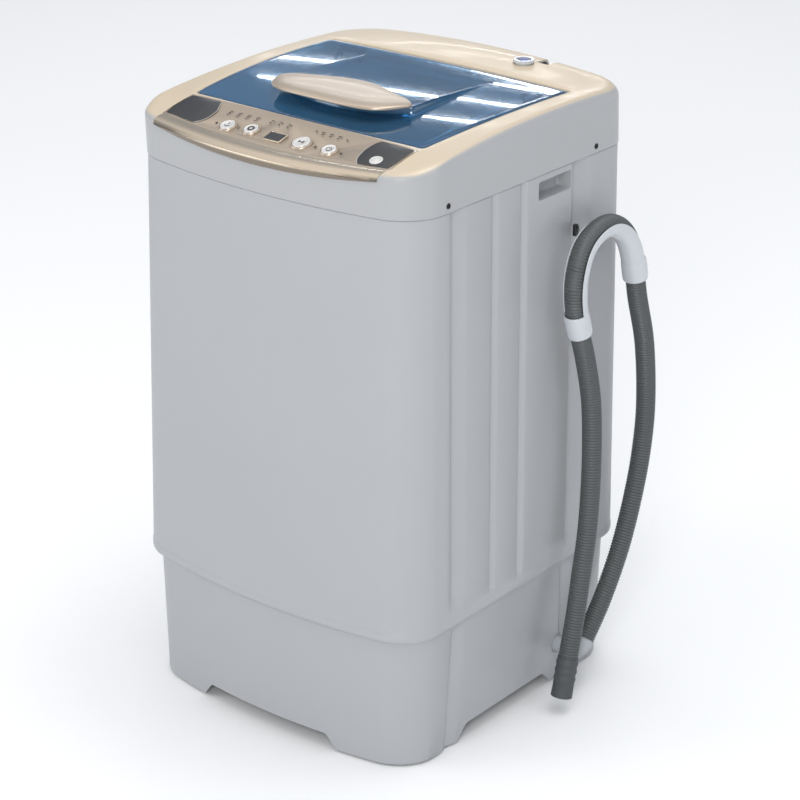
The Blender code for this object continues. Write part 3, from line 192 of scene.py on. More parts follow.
IRON = finish("iron_casting", (0.13, 0.13, 0.14), 0.62, grain=500.0, depth=0.00012, tint=0.1,
              metallic=0.7)
LACQUER = finish("motor_lacquer", (0.04, 0.04, 0.045), 0.35, grain=700.0, depth=0.00006, tint=0.12)
BOARD = finish("board_lacquer", (0.015, 0.16, 0.06), 0.30, grain=900.0, depth=0.00005, tint=0.12)
SCREW = finish("black_oxide", (0.018, 0.018, 0.020), 0.38, grain=1500.0, depth=0.00003, metallic=0.6)
BLUE = finish("filter_plastic", (0.02, 0.07, 0.42), 0.35, grain=900.0, depth=0.00002, tint=0.08)

# %% [markdown]
# ## Helpers
# Three moves make most of this machine. A ring of points is extruded from level to level, which gives a casing
# whose plan changes with its height. A profile is spun about an axis, which gives every round piece. A soft
# bevel finishes the edges, since no moulded edge is ever sharp and its highlight shows the shape.

# %% Helpers for pieces
def done(piece, material, body, *nodes, angle=35.0):
    """Give a piece its finish and shading, and let it ride on a body in place of its engineering nodes."""
    take(piece)
    piece.data.materials.clear()
    piece.data.materials.append(material)
    bpy.ops.object.shade_smooth_by_angle(angle=math.radians(angle))
    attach(piece, body)
    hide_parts(*nodes)
    return piece


def tidy(piece, merge=0.000002):
    """Merge doubled points, drop slivers and turn every face outwards."""
    take(piece)
    bpy.ops.object.mode_set(mode="EDIT")
    bpy.ops.mesh.select_all(action="SELECT")
    bpy.ops.mesh.remove_doubles(threshold=merge)
    bpy.ops.mesh.dissolve_degenerate(threshold=merge)
    bpy.ops.mesh.normals_make_consistent(inside=False)
    bpy.ops.object.mode_set(mode="OBJECT")
    return piece


def apply(piece, kind, **settings):
    """Add a modifier with its settings and apply it."""
    take(piece)
    step = piece.modifiers.new(kind.lower(), kind)
    for key, value in settings.items():
        setattr(step, key, value)
    bpy.ops.object.modifier_apply(modifier=step.name)
    return piece


def rounded(piece, width, segments=2, angle=32.0):
    """Bevel every edge that is sharper than an angle."""
    return apply(piece, "BEVEL", width=width, segments=segments, limit_method="ANGLE",
                 angle_limit=math.radians(angle), use_clamp_overlap=True)


def ring_skin(name, rings, ends=()):
    """Extrude a circle of points from ring to ring; ends names the ring ends to cap: "first", "last"."""
    fresh()
    count = len(rings[0])
    bpy.ops.mesh.primitive_circle_add(vertices=count, radius=1.0)
    piece = bpy.context.object
    piece.name = name
    for vertex, point in zip(piece.data.vertices, rings[0]):
        vertex.co = point
    bpy.ops.object.mode_set(mode="EDIT")
    if "first" in ends:
        bpy.ops.mesh.edge_face_add()
        bpy.ops.mesh.select_mode(type="EDGE")
        bpy.ops.mesh.select_all(action="SELECT")
    row = {i: i for i in range(count)}
    for ring in rings[1:]:
        bpy.ops.mesh.select_mode(type="EDGE")
        skin = bmesh.from_edit_mesh(piece.data)
        for face in skin.faces:
            face.select = False
        for edge in skin.edges:
            edge.select = edge.verts[0].index in row and edge.verts[1].index in row
        bmesh.update_edit_mesh(piece.data)
        bpy.ops.mesh.extrude_edges_move()
        skin = bmesh.from_edit_mesh(piece.data)
        skin.verts.index_update()
        following = {}
        for vertex in skin.verts:
            if vertex.select:
                for edge in vertex.link_edges:
                    other = edge.other_vert(vertex)
                    if not other.select and other.index in row:
                        following[vertex.index] = row[other.index]
                        vertex.co = ring[row[other.index]]
        row = following
        bmesh.update_edit_mesh(piece.data)
    if "last" in ends:
        bpy.ops.mesh.edge_face_add()
    bpy.ops.object.mode_set(mode="OBJECT")
    return tidy(piece)


def spun(name, profile, at=(0.0, 0.0, 0.0), along="Z", steps=64):
    """Spin a closed profile of (radius, height) points about an axis through a place."""
    fresh()
    bpy.ops.mesh.primitive_circle_add(vertices=len(profile), radius=1.0)
    piece = bpy.context.object
    piece.name = name
    for vertex, (radius, height) in zip(piece.data.vertices, profile):
        shape = {"X": (height, radius, 0.0), "Y": (radius, height, 0.0), "Z": (radius, 0.0, height)}[along]
        vertex.co = Vector(at) + Vector(shape)
    axis = {"X": (1, 0, 0), "Y": (0, 1, 0), "Z": (0, 0, 1)}[along]
    bpy.ops.object.mode_set(mode="EDIT")
    bpy.ops.mesh.select_all(action="SELECT")
    bpy.ops.mesh.spin(steps=steps, angle=2 * math.pi, center=at, axis=axis)
    bpy.ops.object.mode_set(mode="OBJECT")
    return tidy(piece)


def cut(piece, tools, operation="DIFFERENCE", solver="EXACT"):
    """Cut tools out of a piece, or unite them with it, and remove the tools."""
    for tool in tools:
        apply(piece, "BOOLEAN", object=tool, operation=operation, solver=solver)
        bpy.data.objects.remove(tool)
    return piece


def block(name, low, high, bevel=0.0, segments=3):
    """A box with rounded edges, from its lowest to its highest corner."""
    fresh()
    bpy.ops.mesh.primitive_cube_add(size=1.0)
    piece = bpy.context.object
    piece.name = name
    for vertex in piece.data.vertices:
        vertex.co = [a + (b - a) * (c + 0.5) for a, b, c in zip(low, high, vertex.co)]
    return rounded(piece, bevel, segments) if bevel else piece


def plate(name, outline, bottom, top, bevel=0.0, segments=2):
    """A flat outline, with its height given at each point, made into a plate."""
    low = [(x, y, bottom(x, y)) for x, y in outline]
    high = [(x, y, top(x, y)) for x, y in outline]
    piece = ring_skin(name, [low, high], ends=("first", "last"))
    return rounded(piece, bevel, segments) if bevel else piece


def smooth_step(value):
    """Rise from 0 to 1 with a soft start and a soft end."""
    value = min(1.0, max(0.0, value))
    return value * value * (3 - 2 * value)


def mix(a, b, share):
    return a + (b - a) * share


def through(points, steps):
    """A smooth curve through points, with a number of steps from each to the next."""
    knots = [Vector(p) for p in points]
    knots = [2 * knots[0] - knots[1]] + knots + [2 * knots[-1] - knots[-2]]
    drawn = []
    for a, b, c, d in zip(knots, knots[1:], knots[2:], knots[3:]):
        for t in (i / steps for i in range(steps)):
            drawn.append(0.5 * (2 * b + (c - a) * t + (2 * a - 5 * b + 4 * c - d) * t * t
                                + (3 * b - a - 3 * c + d) * t * t * t))
    return drawn + [knots[-2]]


print("helpers ready")

# %% [markdown]
# ## Drain hose
# The hose is a corrugated tube of 24 mm. It leaves an elbow low on the right side, climbs the wall, passes over
# a hook and hangs down again to its end cuff. It comes before the casing, because a hose has a fixed length and
# the rest of the machine has to leave it room. Its ribs are real rings: a bump would not show in its outline.

# %% Hose route and corrugated tube
ROUTE = (
    (0.2360, 0.1103, 0.0625), (0.2360, 0.1469, 0.1056), (0.2360, 0.1820, 0.1640), (0.2362, 0.2083, 0.2380),
    (0.2364, 0.2200, 0.3000), (0.2366, 0.2209, 0.3543), (0.2368, 0.2114, 0.4237), (0.2370, 0.1916, 0.4865),
    (0.2370, 0.1780, 0.5420), (0.2370, 0.1600, 0.5740), (0.2370, 0.1325, 0.5920), (0.2370, 0.1035, 0.5930),
    (0.2370, 0.0770, 0.5790), (0.2370, 0.0635, 0.5500), (0.2372, 0.0620, 0.5180), (0.2385, 0.0690, 0.4860),
    (0.2410, 0.0820, 0.4420), (0.2440, 0.0925, 0.3880), (0.2470, 0.0935, 0.3300), (0.2490, 0.0910, 0.2760),
    (0.2500, 0.0860, 0.2230), (0.2510, 0.0760, 0.1730), (0.2520, 0.0660, 0.1250), (0.2520, 0.0570, 0.0850),
    (0.2520, 0.0530, 0.0680),
)
HOSE_RADIUS = 0.0120
RIB_PITCH = 0.0036


def even_route(points, spacing):
    """Read points at an even spacing from a smooth curve through the route's own points."""
    drawn = through(points, 24)
    total = sum((q - p).length for p, q in zip(drawn, drawn[1:]))
    count = round(total / spacing)
    result = [drawn[0]]
    travelled = 0.0
    for p, q in zip(drawn, drawn[1:]):
        step = (q - p).length
        while len(result) < count and travelled + step >= total * len(result) / count:
            share = (total * len(result) / count - travelled) / step
            result.append(p + (q - p) * share)
        travelled += step
    result.append(drawn[-1])
    return result, total


def swept(path, section):
    """Carry (across, outward) offsets along a path that lies close to a plane of equal x."""
    rings = []
    for i, point in enumerate(path):
        along = (path[min(i + 1, len(path) - 1)] - path[max(i - 1, 0)]).normalized()
        outward = along.cross(Vector((1, 0, 0))).normalized()
        across = outward.cross(along)
        rings.append([point + across * a + outward * b for a, b in section(i)])
    return rings


def circle(radius, count):
    return [(radius * math.cos(2 * math.pi * k / count), radius * math.sin(2 * math.pi * k / count))
            for k in range(count)]


line, HOSE_LENGTH = even_route(ROUTE, RIB_PITCH / 4)
RIB = (0.0, -0.00035, -0.0012, -0.00035)


def tube(name, rings):
    """A long tube has far too many rings to extrude one by one, so its faces are listed at once."""
    count = len(rings[0])
    faces = [tuple(reversed(range(count))), tuple(range((len(rings) - 1) * count, len(rings) * count))]
    for low in range(0, (len(rings) - 1) * count, count):
        faces += [(low + k, low + (k + 1) % count, low + count + (k + 1) % count, low + count + k)
                  for k in range(count)]
    mesh = bpy.data.meshes.new(name)
    mesh.from_pydata([tuple(p) for ring in rings for p in ring], [], faces)
    piece = bpy.data.objects.new(name, mesh)
    bpy.context.collection.objects.link(piece)
    return tidy(piece)


hose = tube("corrugated_hose", swept(line, lambda i: circle(HOSE_RADIUS + RIB[i % 4], 20)))
done(hose, HOSE, "casing", "drain_hose", angle=80.0)
print("hose length", round(HOSE_LENGTH, 3), "faces", len(hose.data.polygons))

# %% [markdown]
# ## Hook, cuff and elbow
# A white moulded hook carries the hose over its bend: a channel round the inner side of the arc, with a collar
# at each end that grips the hose. A thicker soft cuff ends the hose, and a grey elbow joins it to the plinth.

# %% Hook, cuff and elbow
coarse = even_route(ROUTE, RIB_PITCH)[0]
high = [i for i, p in enumerate(coarse) if p.z > 0.497]
rear_end, front_end = high[0] + 9, high[-1]
arc_path = coarse[rear_end:front_end + 1]
HOOK_OUTER, HOOK_LIP, HOOK_INNER = 0.0148, 0.0139, 0.0130
CUFF_LENGTH = 0.050


def channel(i):
    """A C-shaped section that opens away from the inner side of the bend; its lips are rounded."""
    reach = math.radians(102)
    angles = [mix(-reach, reach, k / 14) for k in range(15)]
    section = [(HOOK_OUTER * math.sin(a), -HOOK_OUTER * math.cos(a)) for a in angles]
    section.append((HOOK_LIP * math.sin(reach + 0.05), -HOOK_LIP * math.cos(reach + 0.05)))
    section += [(HOOK_INNER * math.sin(a), -HOOK_INNER * math.cos(a)) for a in reversed(angles)]
    section.append((HOOK_LIP * math.sin(-reach - 0.05), -HOOK_LIP * math.cos(-reach - 0.05)))
    return section


hook = ring_skin("hose_hook_channel", swept(arc_path, channel), ends=("first", "last"))
collars = []
for label, path in (("front", coarse[front_end - 1:front_end + 8]), ("rear", coarse[rear_end - 5:rear_end + 3])):
    n = len(path) - 1
    outer = swept(path, lambda i: circle(0.0154 - 0.0006 * (2 * i / n - 1) ** 4, 32))
    inner = swept(path, lambda i: circle(0.0128, 32))
    collar = ring_skin(f"hook_collar_{label}", outer + list(reversed(inner)) + [outer[0]])
    collars.append(rounded(collar, 0.0006, 2))
hook = rounded(hook, 0.0004, 2)
done(hook, HOOK, "casing", "hose_hook", angle=50.0)
for collar in collars:
    done(collar, HOOK, "casing", "hose_hook", angle=50.0)
heading = (line[-1] - line[-2]).normalized()
cuff_path = [line[-1] + heading * (0.0003 + CUFF_LENGTH * k / 25) for k in range(26)]


def cuff_ring(i):
    """The cuff: a plain grip with three raised bands and a slightly flared mouth."""
    share = i / 25
    band = 0.0007 if i in (3, 4, 8, 9, 13, 14) else 0.0
    return circle(0.0127 + band + 0.0004 * smooth_step((share - 0.75) / 0.25), 32)


outer = swept(cuff_path, cuff_ring)
inner = swept(cuff_path, lambda i: circle(0.0100, 32))
cuff = ring_skin("hose_end_cuff", outer + list(reversed(inner)) + [outer[0]])
done(rounded(cuff, 0.0003, 2, 50.0), CUFF, "casing", "hose_cuff", angle=40.0)
climb = (line[1] - line[0]).normalized()
OUTLET = Vector((0.222, 0.0985, 0.0500))
bend = [Vector((0.186, 0.0985, 0.0500)), OUTLET]
knee, tip = Vector((0.2375, 0.0985, 0.0495)), line[0] - climb * 0.0003
for t in (k / 8 for k in range(1, 9)):
    bend.append(OUTLET * (1 - t) ** 2 + knee * (2 * t * (1 - t)) + tip * t * t)
upright = Vector((0, -0.72, 0.69))
rings = []
for i, point in enumerate(bend):
    along = (bend[min(i + 1, len(bend) - 1)] - bend[max(i - 1, 0)]).normalized()
    u = (upright - along * upright.dot(along)).normalized()
    v = along.cross(u)
    rings.append([point + u * a + v * b for a, b in circle(0.0112, 28)])
elbow = ring_skin("drain_elbow", rings, ends=("first", "last"))
done(rounded(elbow, 0.0004, 2, 50.0), GREY, "casing", "drain_outlet", angle=40.0)
print("hook arc", len(arc_path), "collars", len(collars), "cuff end z", round(cuff_path[-1].z, 4))

# %% [markdown]
# ## Outlines of the casing
# The plan of the casing is a rounded rectangle whose front is bowed, and every level of cabinet, plinth and
# cover is a version of it. The side walls carry four grooves: each starts with a steep step at its front and
# runs out in a long slope, so it is drawn as a small profile laid along the side.

# %% Outlines
FRONT_BOW = 0.026
CORNER = 0.046
GROOVES = (
    (-0.1306, -0.1040, 0.008, 0.190, 0.207), (-0.0580, -0.0465, 0.005, 0.187, 0.192),
    (-0.0050, 0.0070, 0.005, 0.187, 0.192), (0.0930, 0.1290, 0.009, 0.190, 0.207),
)
STEP_PROFILE = ((-0.0010, 0.0), (-0.0004, 0.04), (0.0002, 0.22), (0.0010, 0.72), (0.0016, 0.94), (0.0026, 1.0))


def plan(half_width, front, rear, corner, front_bow=FRONT_BOW, rear_bow=0.0, side=None, counts=(16, 12, 30, 16)):
    """A rounded rectangle with bowed ends, from the middle of the front round by +X."""
    front_steps, corner_steps, side_steps, rear_steps = counts
    inner = half_width - corner
    points = [(inner * i / front_steps, front) for i in range(front_steps)]
    turns = [math.pi / 2 * i / corner_steps for i in range(corner_steps + 1)]
    points += [(inner + corner * math.sin(t), front + corner - corner * math.cos(t)) for t in turns]
    if side is None:
        points += [(half_width, mix(front + corner, rear - corner, i / side_steps)) for i in range(1, side_steps)]
        flat = set()
    else:
        flat = {(half_width - inset, y) for y, inset in side}
        points += [(half_width - inset, y) for y, inset in side]
    points += [(inner + corner * math.cos(t), rear - corner + corner * math.sin(t)) for t in turns]
    points += [(inner * i / rear_steps, rear) for i in range(rear_steps - 1, -1, -1)]
    bowed = []
    for x, y in points:
        if (x, y) not in flat:
            reach = (x / half_width) ** 2
            y += front_bow * reach * max(0.0, y / front) - rear_bow * reach * max(0.0, y / rear)
        bowed.append((x, y))
    return bowed + [(-x, y) for x, y in reversed(bowed[1:-1])]


def groove_side(grooves, level, shift=0.0):
    """The (y, inset) points of the side wall at one level, front to rear."""
    points = [(-0.1455, 0.0), (-0.1400, 0.0)]
    for front, rear, depth, start, full in grooves:
        here = depth * smooth_step((level - start) / (full - start))
        points += [(front + y - shift, here * s) for y, s in STEP_PROFILE]
        run = rear - front - 0.0026
        points += [(front + 0.0026 + run * t, here * (1 - t) * (1 - 0.12 * math.sin(math.pi * t)))
                   for t in (0.25, 0.5, 0.75, 0.93)]
        points += [(rear + 0.0008, 0.0), (rear + 0.005, 0.0)]
    return points


def casing_size(z):
    share = (z - 0.169) / 0.500
    return mix(0.2145, 0.2075, share), mix(0.22225, 0.21435, share)


def casing_ring(z, inset, height=None):
    half_width, half_depth = casing_size(z)
    ring = plan(half_width - inset, inset - half_depth, half_depth - inset, CORNER - inset,
                side=groove_side(GROOVES, z, inset))
    return [(x, y, z if height is None else height) for x, y in ring]


print("points in a level of the casing:", len(casing_ring(0.4, 0.0)))

# %% [markdown]
# ## Cabinet
# The cabinet is one tapering shell, 3 mm thick, with a small rolled lip where it stands on the plinth. The outer
# skin is extruded upwards, turned over the rim and extruded down again inside, so the wall has its thickness
# from the start. The hand-holds are cut afterwards, because a pocket is easier to cut than to weave in.

# %% Cabinet shell
WALL = 0.0032
levels = (0.1702, 0.1725, 0.1790, 0.1800, 0.1865, 0.1890, 0.1920, 0.1955, 0.1990, 0.2030, 0.2070, 0.2100, 0.30, 0.40,
          0.50, 0.60, 0.6685)
rings = [casing_ring(z, 0.0 if 0.1720 < z < 0.1795 else 0.0006) for z in levels]
rings = [casing_ring(0.169, 0.0016)] + rings + [casing_ring(0.669, 0.0011), casing_ring(0.669, 0.0028)]
rings += [casing_ring(z, WALL) for z in (0.6675, 0.50, 0.35, 0.2100, 0.2030, 0.1955, 0.1890, 0.1740)]
rings += [casing_ring(0.174, 0.020, 0.1725), casing_ring(0.169, 0.020, 0.169), casing_ring(0.169, 0.0016)]
cabinet = ring_skin("cabinet_shell", rings)
pockets = []
for sign in (1, -1):
    xs = sorted((sign * 0.1855, sign * 0.2085))
    shell = block(f"hold_{sign}", (xs[0], 0.026, 0.638), (xs[1] - (0.0015 if sign > 0 else 0.0), 0.092, 0.664))
    if sign < 0:
        for vertex in shell.data.vertices:
            vertex.co.x = max(vertex.co.x, -0.2070)
    pockets.append(shell)
cut(cabinet, pockets, "UNION", "MANIFOLD")
cutters = []
for sign in (1, -1):
    xs = sorted((sign * 0.1875, sign * 0.2300))
    cutters.append(block(f"pocket_{sign}", (xs[0], 0.028, 0.640), (xs[1], 0.090, 0.662), 0.0035, 4))
cut(cabinet, cutters, solver="MANIFOLD")
apply(cabinet, "WEIGHTED_NORMAL", keep_sharp=True)
done(cabinet, SIDE, "casing", "cabinet", angle=28.0)
print("cabinet faces", len(cabinet.data.polygons))

# %% [markdown]
# ## Plinth
# The plinth is a raised skirt with four feet: the wall between the feet is cut away in a shallow arch. It is
# made like the cabinet and cut like it, and a rubber pad is set under each foot.

# %% Plinth
def plinth_ring(z, inset):
    share = (z - 0.0025) / (0.1687 - 0.0025)
    half_width = mix(0.2032, 0.2065, share)
    half_depth = mix(0.2120, 0.2143, share)
    lean = mix(0.009, 0.0, share)
    depth = 0.005 * (1 - smooth_step((z - 0.154) / 0.008))
    points = [(-0.1455, 0.0), (-0.1420, 0.0)]
    for front, rear in ((-0.118 - lean, -0.094 - lean), (0.094 + lean, 0.118 + lean)):
        points += [(front + y, depth * s) for y, s in STEP_PROFILE]
        points += [(mix(front + 0.0026, rear, t), depth * (1 - t)) for t in (0.3, 0.6, 0.9)]
        points += [(rear + 0.0008, 0.0), (rear + 0.006, 0.0)]
    if inset > CORNER / 2:
        points = [(y * 0.8, s) for y, s in points]
    ring = plan(half_width - inset, inset - half_depth, half_depth - inset, CORNER - inset, side=points)
    return [(x, y, z) for x, y in ring]


heights = (0.0031, 0.04, 0.08, 0.12, 0.150, 0.154, 0.156, 0.158, 0.160, 0.162, 0.166, 0.1682)
rings = [plinth_ring(0.0025, 0.0005)] + [plinth_ring(z, 0.0) for z in heights]
rings += [plinth_ring(z, inset) for z, inset in ((0.1687, 0.0006), (0.1687, 0.030), (0.1657, 0.030), (0.1657, 0.003))]
rings += [plinth_ring(z, 0.003) for z in (0.162, 0.158, 0.154, 0.08, 0.0025)] + [plinth_ring(0.0025, 0.0005)]
plinth = ring_skin("plinth_skirt", rings)


def arch(name, along, wide, narrow, shift=0.0):
    """A cutter whose section is a low arch with rounded upper corners."""
    top = 0.0205
    flank = lambda t: (mix(wide, narrow, t), mix(0.0, top, smooth_step(t) * 0.35 + t * 0.65))
    half = [(wide, -0.01), (wide, 0.0)] + [flank(t) for t in (0.3, 0.6, 0.85)]
    half += [(narrow, top - 0.0006), (narrow - 0.003, top)]
    section = [(a + shift, b) for a, b in half] + [(-a + shift, b) for a, b in reversed(half)]
    ends = []
    for level in (-0.3, 0.3):
        ends.append([(a, level, b) if along == "Y" else (level, a, b) for a, b in section])
    return ring_skin(name, ends, ends=("first", "last"))


cut(plinth, [arch("front_arch", "Y", 0.107, 0.090), arch("side_arch", "X", 0.0975, 0.0755, -0.0075)],
    solver="MANIFOLD")
hole = spun("outlet_hole", [(0.0, 0.190), (0.0118, 0.190), (0.0118, 0.215), (0.0, 0.215)], (0, 0.0985, 0.0500), "X",
            32)
cut(plinth, [hole], solver="MANIFOLD")
apply(plinth, "WEIGHTED_NORMAL", keep_sharp=True)
done(plinth, SIDE, "casing", "plinth", angle=28.0)
for i, (x, y) in enumerate(((-0.165, -0.153), (0.165, -0.153), (0.165, 0.172), (-0.165, 0.172)), 1):
    pad = spun(f"rubber_pad_{i}", [(0.0, 0.0), (0.0138, 0.0), (0.0150, 0.0009), (0.0150, 0.0025), (0.0, 0.0025)],
               (x, y, 0), steps=40)
    done(pad, RUBBER, "casing", f"foot_pad_{i}")
print("plinth faces", len(plinth.data.polygons))

# %% [markdown]
# ## The deck's surface
# The top cover, the control panel and the lid share one gently crowned surface. It is written once, as a height
# for each place, so that the three meet without a step wherever they lie side by side.

# %% Deck, lid and panel outlines
LID_HALF_WIDTH, LID_FRONT, LID_REAR = 0.170, -0.130, 0.126
HINGE = Vector((0.0, 0.119, 0.7335))


def deck(x, y):
    """The height of the crowned surface."""
    ridge = 0.740 - 0.281 * (y - 0.06) ** 2 - 1.2 * max(0.0, -0.12 - y) ** 2
    crown = 0.0025 + 0.008 * smooth_step((y - 0.11) / 0.10)
    return ridge + crown * (1 - (x / 0.2) ** 2)


def lid_plan(grow, rear_grow=None, corner=0.008):
    rear = LID_REAR + (grow if rear_grow is None else rear_grow)
    ring = plan(LID_HALF_WIDTH + grow, LID_FRONT - grow, rear, corner, 0.004, 0.001, counts=(16, 12, 30, 16))
    result = []
    for x, y in ring:
        share = y / LID_REAR
        result.append((x * (1 + 0.033 * share + 0.018 * (1 - share * share)), y))
    return result


def ledge_drop(y):
    return mix(0.0061, 0.0180, smooth_step((y - 0.085) / 0.015))


def panel_front(x):
    return -0.1965 + 0.013 * (x / 0.164) ** 2


# %% [markdown]
# ## Cover finish
# The moulding is light grey, and its top is painted beige. The paint fades over the rounded edge, so the shell
# carries a value at each point: one on the deck, nothing on the walls, and a soft step between them.

# %% Two-tone cover finish
# On the cover this mix is real two-tone paint; on the front trim its darker lower colour is painted shade.
def two_tone_and_shade(name, lower, upper, roughness, grain, coat):
    material = finish(name, lower, roughness, grain=grain, depth=0.000015, tint=0.02, coat=coat)
    tree = material.node_tree
    shader = tree.nodes["Principled BSDF"]
    under = shader.inputs["Base Color"].links[0].from_socket
    share = tree.nodes.new("ShaderNodeAttribute")
    share.attribute_name = "paint_and_shade"
    over = tree.nodes.new("ShaderNodeMix")
    over.data_type = "RGBA"
    tree.links.new(share.outputs["Fac"], over.inputs["Factor"])
    tree.links.new(under, over.inputs["A"])
    over.inputs["B"].default_value = (*upper, 1.0)
    tree.links.new(over.outputs["Result"], shader.inputs["Base Color"])
    return material


def paint_and_shade_share(piece, share):
    values = piece.data.attributes.new("paint_and_shade", "FLOAT", "POINT")
    for vertex, value in zip(piece.data.vertices, values.data):
        value.value = share(vertex.co)
    return piece


COVER = two_tone_and_shade("cover_paint", (0.375, 0.379, 0.386), (0.600, 0.495, 0.360), 0.34, 1600.0, 0.15)
CHAMPAGNE = finish("panel_champagne", (0.400, 0.325, 0.250), 0.34, grain=5200.0, depth=0.00002,
                   tint=0.06,
                   metallic=0.45, coat=0.25, second=(0.44, 0.36, 0.28), second_scale=900.0)
GRIP = finish("grip_champagne", (0.500, 0.410, 0.320), 0.33, grain=3000.0, depth=0.000003,
              tint=0.01, metallic=0.5, coat=0.15, smears=0.01)
# The trim's darker lower colour is painted shade on its underturned part; the upper colour is its polished champagne.
TRIM = two_tone_and_shade("trim_champagne_painted_shade", (0.215, 0.180, 0.140), (0.560, 0.470, 0.360), 0.22, 2500.0, 0.3)
TRIM.node_tree.nodes["Principled BSDF"].inputs["Metallic"].default_value = 0.75
INLAY = finish("inlay_charcoal", (0.036, 0.036, 0.038), 0.38, grain=2600.0, depth=0.00003, tint=0.15)
SILVER = finish("button_silver", (0.68, 0.665, 0.640), 0.25, grain=1800.0, depth=0.00001, tint=0.03,
                metallic=0.25, coat=0.4)
MARK = finish("printed_mark", (0.050, 0.044, 0.040), 0.55, grain=1800.0, depth=0.00001, tint=0.1)
WINDOW = finish("display_glass", (0.012, 0.013, 0.016), 0.06, grain=300.0, depth=0.000005, tint=0.2,
                coat=0.6, smears=0.02)
print("deck height at the lid's middle", round(deck(0, 0), 4))

# %% [markdown]
# ## Top cover
# The cover is one long chain of outlines: from its seam up the wall, round the edge, over the deck to the lid's
# opening, down to the ledge the lid rests on, along the funnel into the round mouth, and back on the underside.
# The rounded edge gets eight outlines of its own, laid on a quarter ellipse, since its highlight is in plain view.

# %% Top cover shell
def cover_plan(half_width, front, rear, rear_bow):
    return plan(half_width, front, rear, CORNER, FRONT_BOW, rear_bow)


def at_height(ring, height):
    return [(x, y, height(x, y)) for x, y in ring]


def wall_rings(skin):
    edge = cover_plan(0.1975 - 0.4 * skin, -0.199 + 0.4 * skin, 0.2085 - 0.4 * skin, 0.006)
    wall = cover_plan(0.2077 - skin, -0.2162 + skin, 0.2165 - skin, 0.006)
    seam = cover_plan(0.2078 - skin, -0.2146 + skin, 0.2146 - skin, 0.0)
    rims = [deck(x, y) - skin for x, y in edge]
    drops = [mix(0.013, 0.0055, smooth_step((-y - 0.15) / 0.03)) for x, y in edge]
    if skin:
        levels = [[(x, y, 0.6695) for x, y in seam]]
    else:
        levels = [[(x * 0.996, y * 0.996, 0.6693) for x, y in seam], [(x, y, 0.6701) for x, y in seam]]
    for t in (0.35, 0.7):
        levels.append([(mix(a[0], b[0], t), mix(a[1], b[1], t), mix(0.670, rim - drop, t))
                       for a, b, rim, drop in zip(seam, wall, rims, drops)])
    for k in range(8):
        turn = math.pi / 2 * k / 7
        out, rise = math.cos(turn), math.sin(turn)
        levels.append([(mix(b[0], a[0], out), mix(b[1], a[1], out), rim - drop * (1 - rise))
                       for a, b, rim, drop in zip(wall, edge, rims, drops)])
    return levels


def on_mouth(radius, ring, height):
    return [(radius * math.cos(math.atan2(y, x)), radius * math.sin(math.atan2(y, x)), height) for x, y in ring]


def toward(a, b, t, height):
    return [(mix(p[0], q[0], t), mix(p[1], q[1], t), height(mix(p[0], q[0], t), mix(p[1], q[1], t)))
            for p, q in zip(a, b)]


SKIN = 0.0025
opening = lid_plan(0.0015, 0.0027, 0.005)
lip = lid_plan(0.0027, 0.0039, 0.0062)
ledge = lid_plan(-0.010, -0.012)
under = lid_plan(0.0040, 0.0052, 0.0075)
under_ledge = lid_plan(-0.0075, -0.0095)
rings = wall_rings(0.0)
edge_ring = rings[-1]
rings += [toward(edge_ring, lip, t, deck) for t in (0.2, 0.4, 0.6, 0.8)]
rings += [at_height(lip, deck), at_height(lid_plan(0.0020, 0.0032, 0.0055), lambda x, y: deck(x, y) - 0.0003)]
rings += [at_height(opening, lambda x, y: deck(x, y) - 0.0011),
          at_height(opening, lambda x, y: deck(x, y) - ledge_drop(y) + 0.0008),
          at_height(lid_plan(0.0007, 0.0019, 0.0042), lambda x, y: deck(x, y) - ledge_drop(y)),
          at_height(ledge, lambda x, y: deck(x, y) - ledge_drop(y)),
          at_height(lid_plan(-0.0115, -0.0135), lambda x, y: deck(x, y) - ledge_drop(y) - 0.0007)]
top_ring = rings[-1]
throat = on_mouth(0.1212, ledge, 0.694)
for t in (0.3, 0.6, 0.9):
    rings.append([tuple(mix(p, q, t) for p, q in zip(a, b)) for a, b in zip(top_ring, throat)])
rings += [on_mouth(0.1200, ledge, 0.6915), on_mouth(0.1182, ledge, 0.6860), on_mouth(0.1180, ledge, 0.6648)]
rings += [on_mouth(0.1186, ledge, 0.6641), on_mouth(0.1200, ledge, 0.6641), on_mouth(0.1206, ledge, 0.6648)]
rings += [on_mouth(0.1238, ledge, 0.6925), at_height(under_ledge, lambda x, y: deck(x, y) - ledge_drop(y) - SKIN)]
rings += [at_height(under, lambda x, y: deck(x, y) - ledge_drop(y) - SKIN),
          at_height(under, lambda x, y: deck(x, y) - SKIN)]
inside = wall_rings(SKIN)
rings += [toward(inside[-1], under, 0.5, lambda x, y: deck(x, y) - SKIN)] + list(reversed(inside)) + [rings[0]]
cover = ring_skin("top_cover_shell", rings)


def panel_block(name, grow, above, below):
    """The control panel's plan as a cutter that follows the deck."""
    xs = [mix(-0.164 - grow, 0.164 + grow, i / 40) for i in range(41)]
    front = [(x, panel_front(x) - grow) for x in xs]
    outline = front + [(0.164 + grow, -0.165)] + [(x, -0.1335 + grow) for x in reversed(xs)] + [(-0.164 - grow,
                                                                                                 -0.165)]
    return plate(name, outline, lambda x, y: deck(x, y) + below, lambda x, y: deck(x, y) + above)


cut(cover, [panel_block("panel_recess", 0.0003, 0.02, -0.0018)], solver="MANIFOLD")
inlet_hole = spun("inlet_hole", [(0.0, 0.70), (0.0110, 0.70), (0.0110, 0.78), (0.0, 0.78)], (0.075, 0.176, 0),
                  steps=40)
notch = block("rear_notch", (0.084, 0.1895, 0.7220), (0.100, 0.2300, 0.7800), 0.0015, 3)
cut(cover, [inlet_hole, notch], solver="MANIFOLD")


